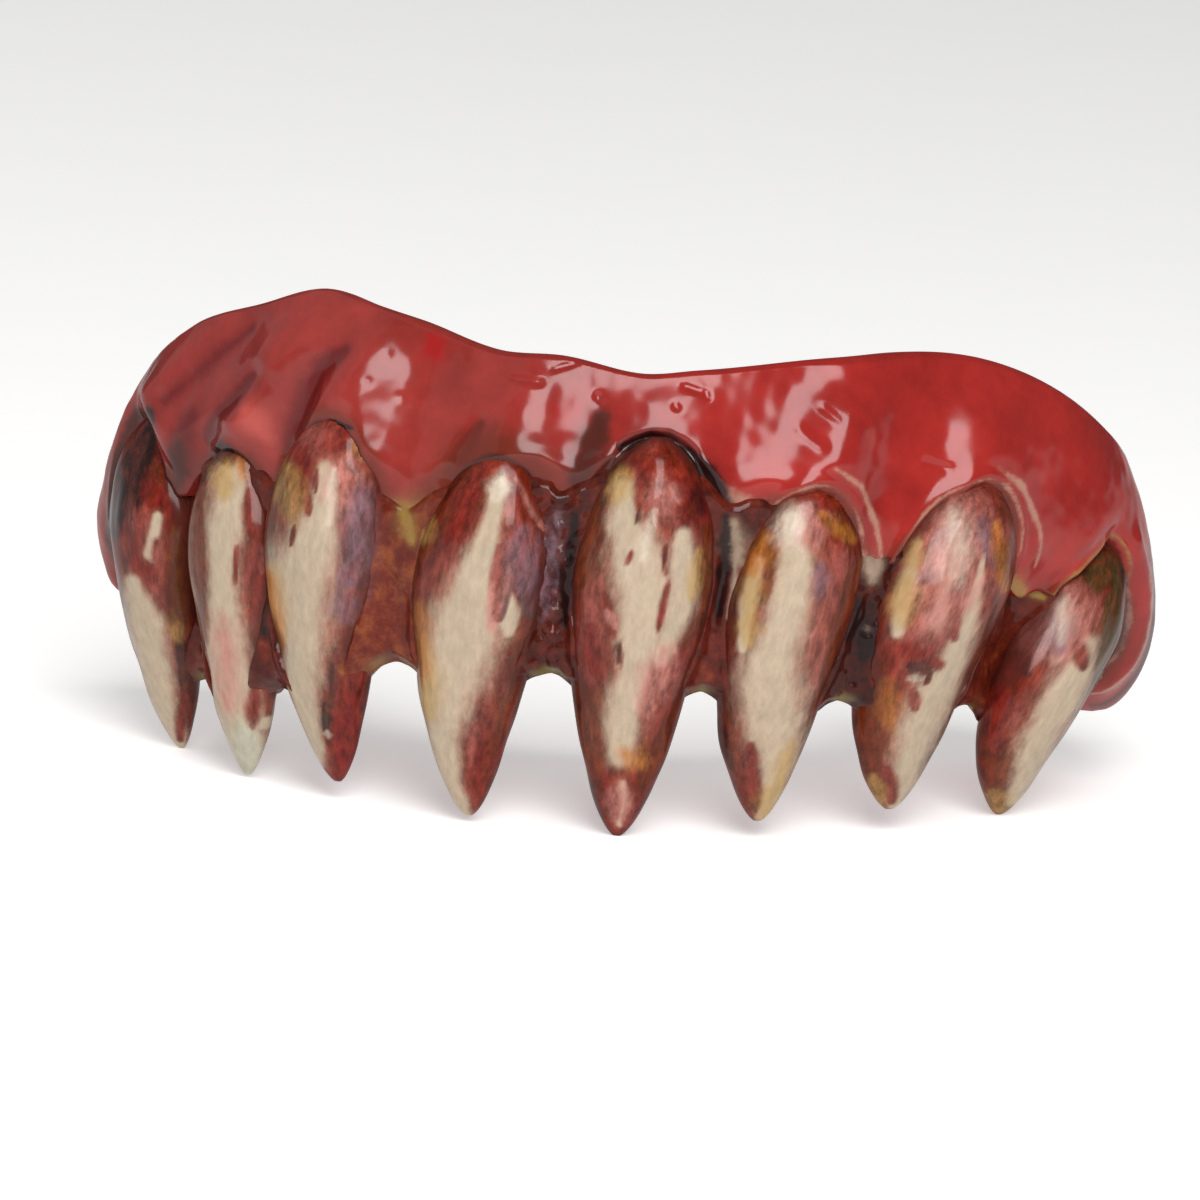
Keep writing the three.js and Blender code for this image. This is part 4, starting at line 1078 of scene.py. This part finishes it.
# Matt coated paper, laid flat under the part: an even off-white without gloss. Its fibres are too fine to
# show, so they are drawn as coarse, faint clouds.
def makeMattPaper():
    material, tree = startMaterial("mattPaper")
    place = addNode(tree, "TexCoord").outputs["Object"]
    fibre = addNode(tree, "TexNoise", {"Vector": place, "Scale": patternScale(studio["fibreClouds"])})
    darkest, lightest = studio["fibreTint"]
    tint = addNode(tree, "MapRange", {
        "Value": fibre.outputs["Fac"], "To Min": darkest, "To Max": lightest,
    })
    colour = addNode(tree, "Mix", {
        mixFactor: 1.0, mixFrom: toLinear(studio["floorColour"]), mixTo: tint.outputs[0],
    }, data_type="RGBA", blend_type="MULTIPLY").outputs[mixResult]
    surface = addNode(tree, "BsdfPrincipled", {
        "Base Color": colour, "Roughness": 0.9, "Emission Color": (1, 1, 1, 1),
        "Emission Strength": studio["floorGlow"],
    })
    addNode(tree, "OutputMaterial", {"Surface": surface.outputs[0]})
    return material


def makeFloor(material):
    mesh = bpy.data.meshes.new("floor")
    radius, sides = studio["floorRadius"], studio["floorSides"]
    turns = np.linspace(0, 2 * np.pi, sides, endpoint=False)
    ring = [(radius * math.cos(turn), radius * math.sin(turn), 0) for turn in turns]
    mesh.from_pydata(ring, [], [list(range(sides))])
    mesh.materials.append(material)
    floor = bpy.data.objects.new("floor", mesh)
    bpy.context.scene.collection.objects.link(floor)


def addSoftLight(name):
    values = studio[name]
    light = bpy.data.lights.new(name, "AREA")
    light.shape, light.energy = "RECTANGLE", values["power"]
    light.size, light.size_y = values["width"], values["height"]
    azimuth, elevation = math.radians(values["azimuth"]), math.radians(values["elevation"])
    level = Vector((math.sin(azimuth), -math.cos(azimuth), 0))
    back = level * math.cos(elevation) + Vector((0, 0, math.sin(elevation)))
    lamp = bpy.data.objects.new(name, light)
    lamp.location = Vector(studio["lightTarget"]) + back * values["distance"]
    lamp.rotation_euler = (-back).to_track_quat("-Z", "Y").to_euler()
    bpy.context.scene.collection.objects.link(lamp)


def makeWorld():
    world = bpy.data.worlds.new("studioWorld")
    bpy.context.scene.world = world
    world.use_nodes = True
    background = world.node_tree.nodes["Background"]
    background.inputs["Color"].default_value = (1, 1, 1, 1)
    background.inputs["Strength"].default_value = studio["worldStrength"]


def makeCamera():
    tilt, roll = math.radians(studio["elevation"]), math.radians(studio["roll"])
    forward = Vector((0, math.cos(tilt), -math.sin(tilt)))
    level = Vector((0, math.sin(tilt), math.cos(tilt)))
    right = Vector((math.cos(roll), 0, 0)) + level * math.sin(roll)
    up = Vector((-math.sin(roll), 0, 0)) + level * math.cos(roll)
    lens = bpy.data.cameras.new("camera")
    lens.lens, lens.sensor_width = studio["lens"], studio["sensor"]
    lens.clip_start, lens.clip_end = [limit * mm for limit in studio["clip"]]
    camera = bpy.data.objects.new("camera", lens)
    turn = Matrix((right, up, -forward)).transposed().to_4x4()
    place = Vector(studio["target"]) * mm - forward * studio["distance"] * mm
    camera.matrix_world = Matrix.Translation(place) @ turn
    bpy.context.scene.collection.objects.link(camera)
    bpy.context.scene.camera = camera


makeFloor(makeMattPaper())
makeWorld()
addSoftLight("softbox")
addSoftLight("fill")
makeCamera()
bpy.context.scene.view_settings.view_transform = "Standard"
print("studio set")
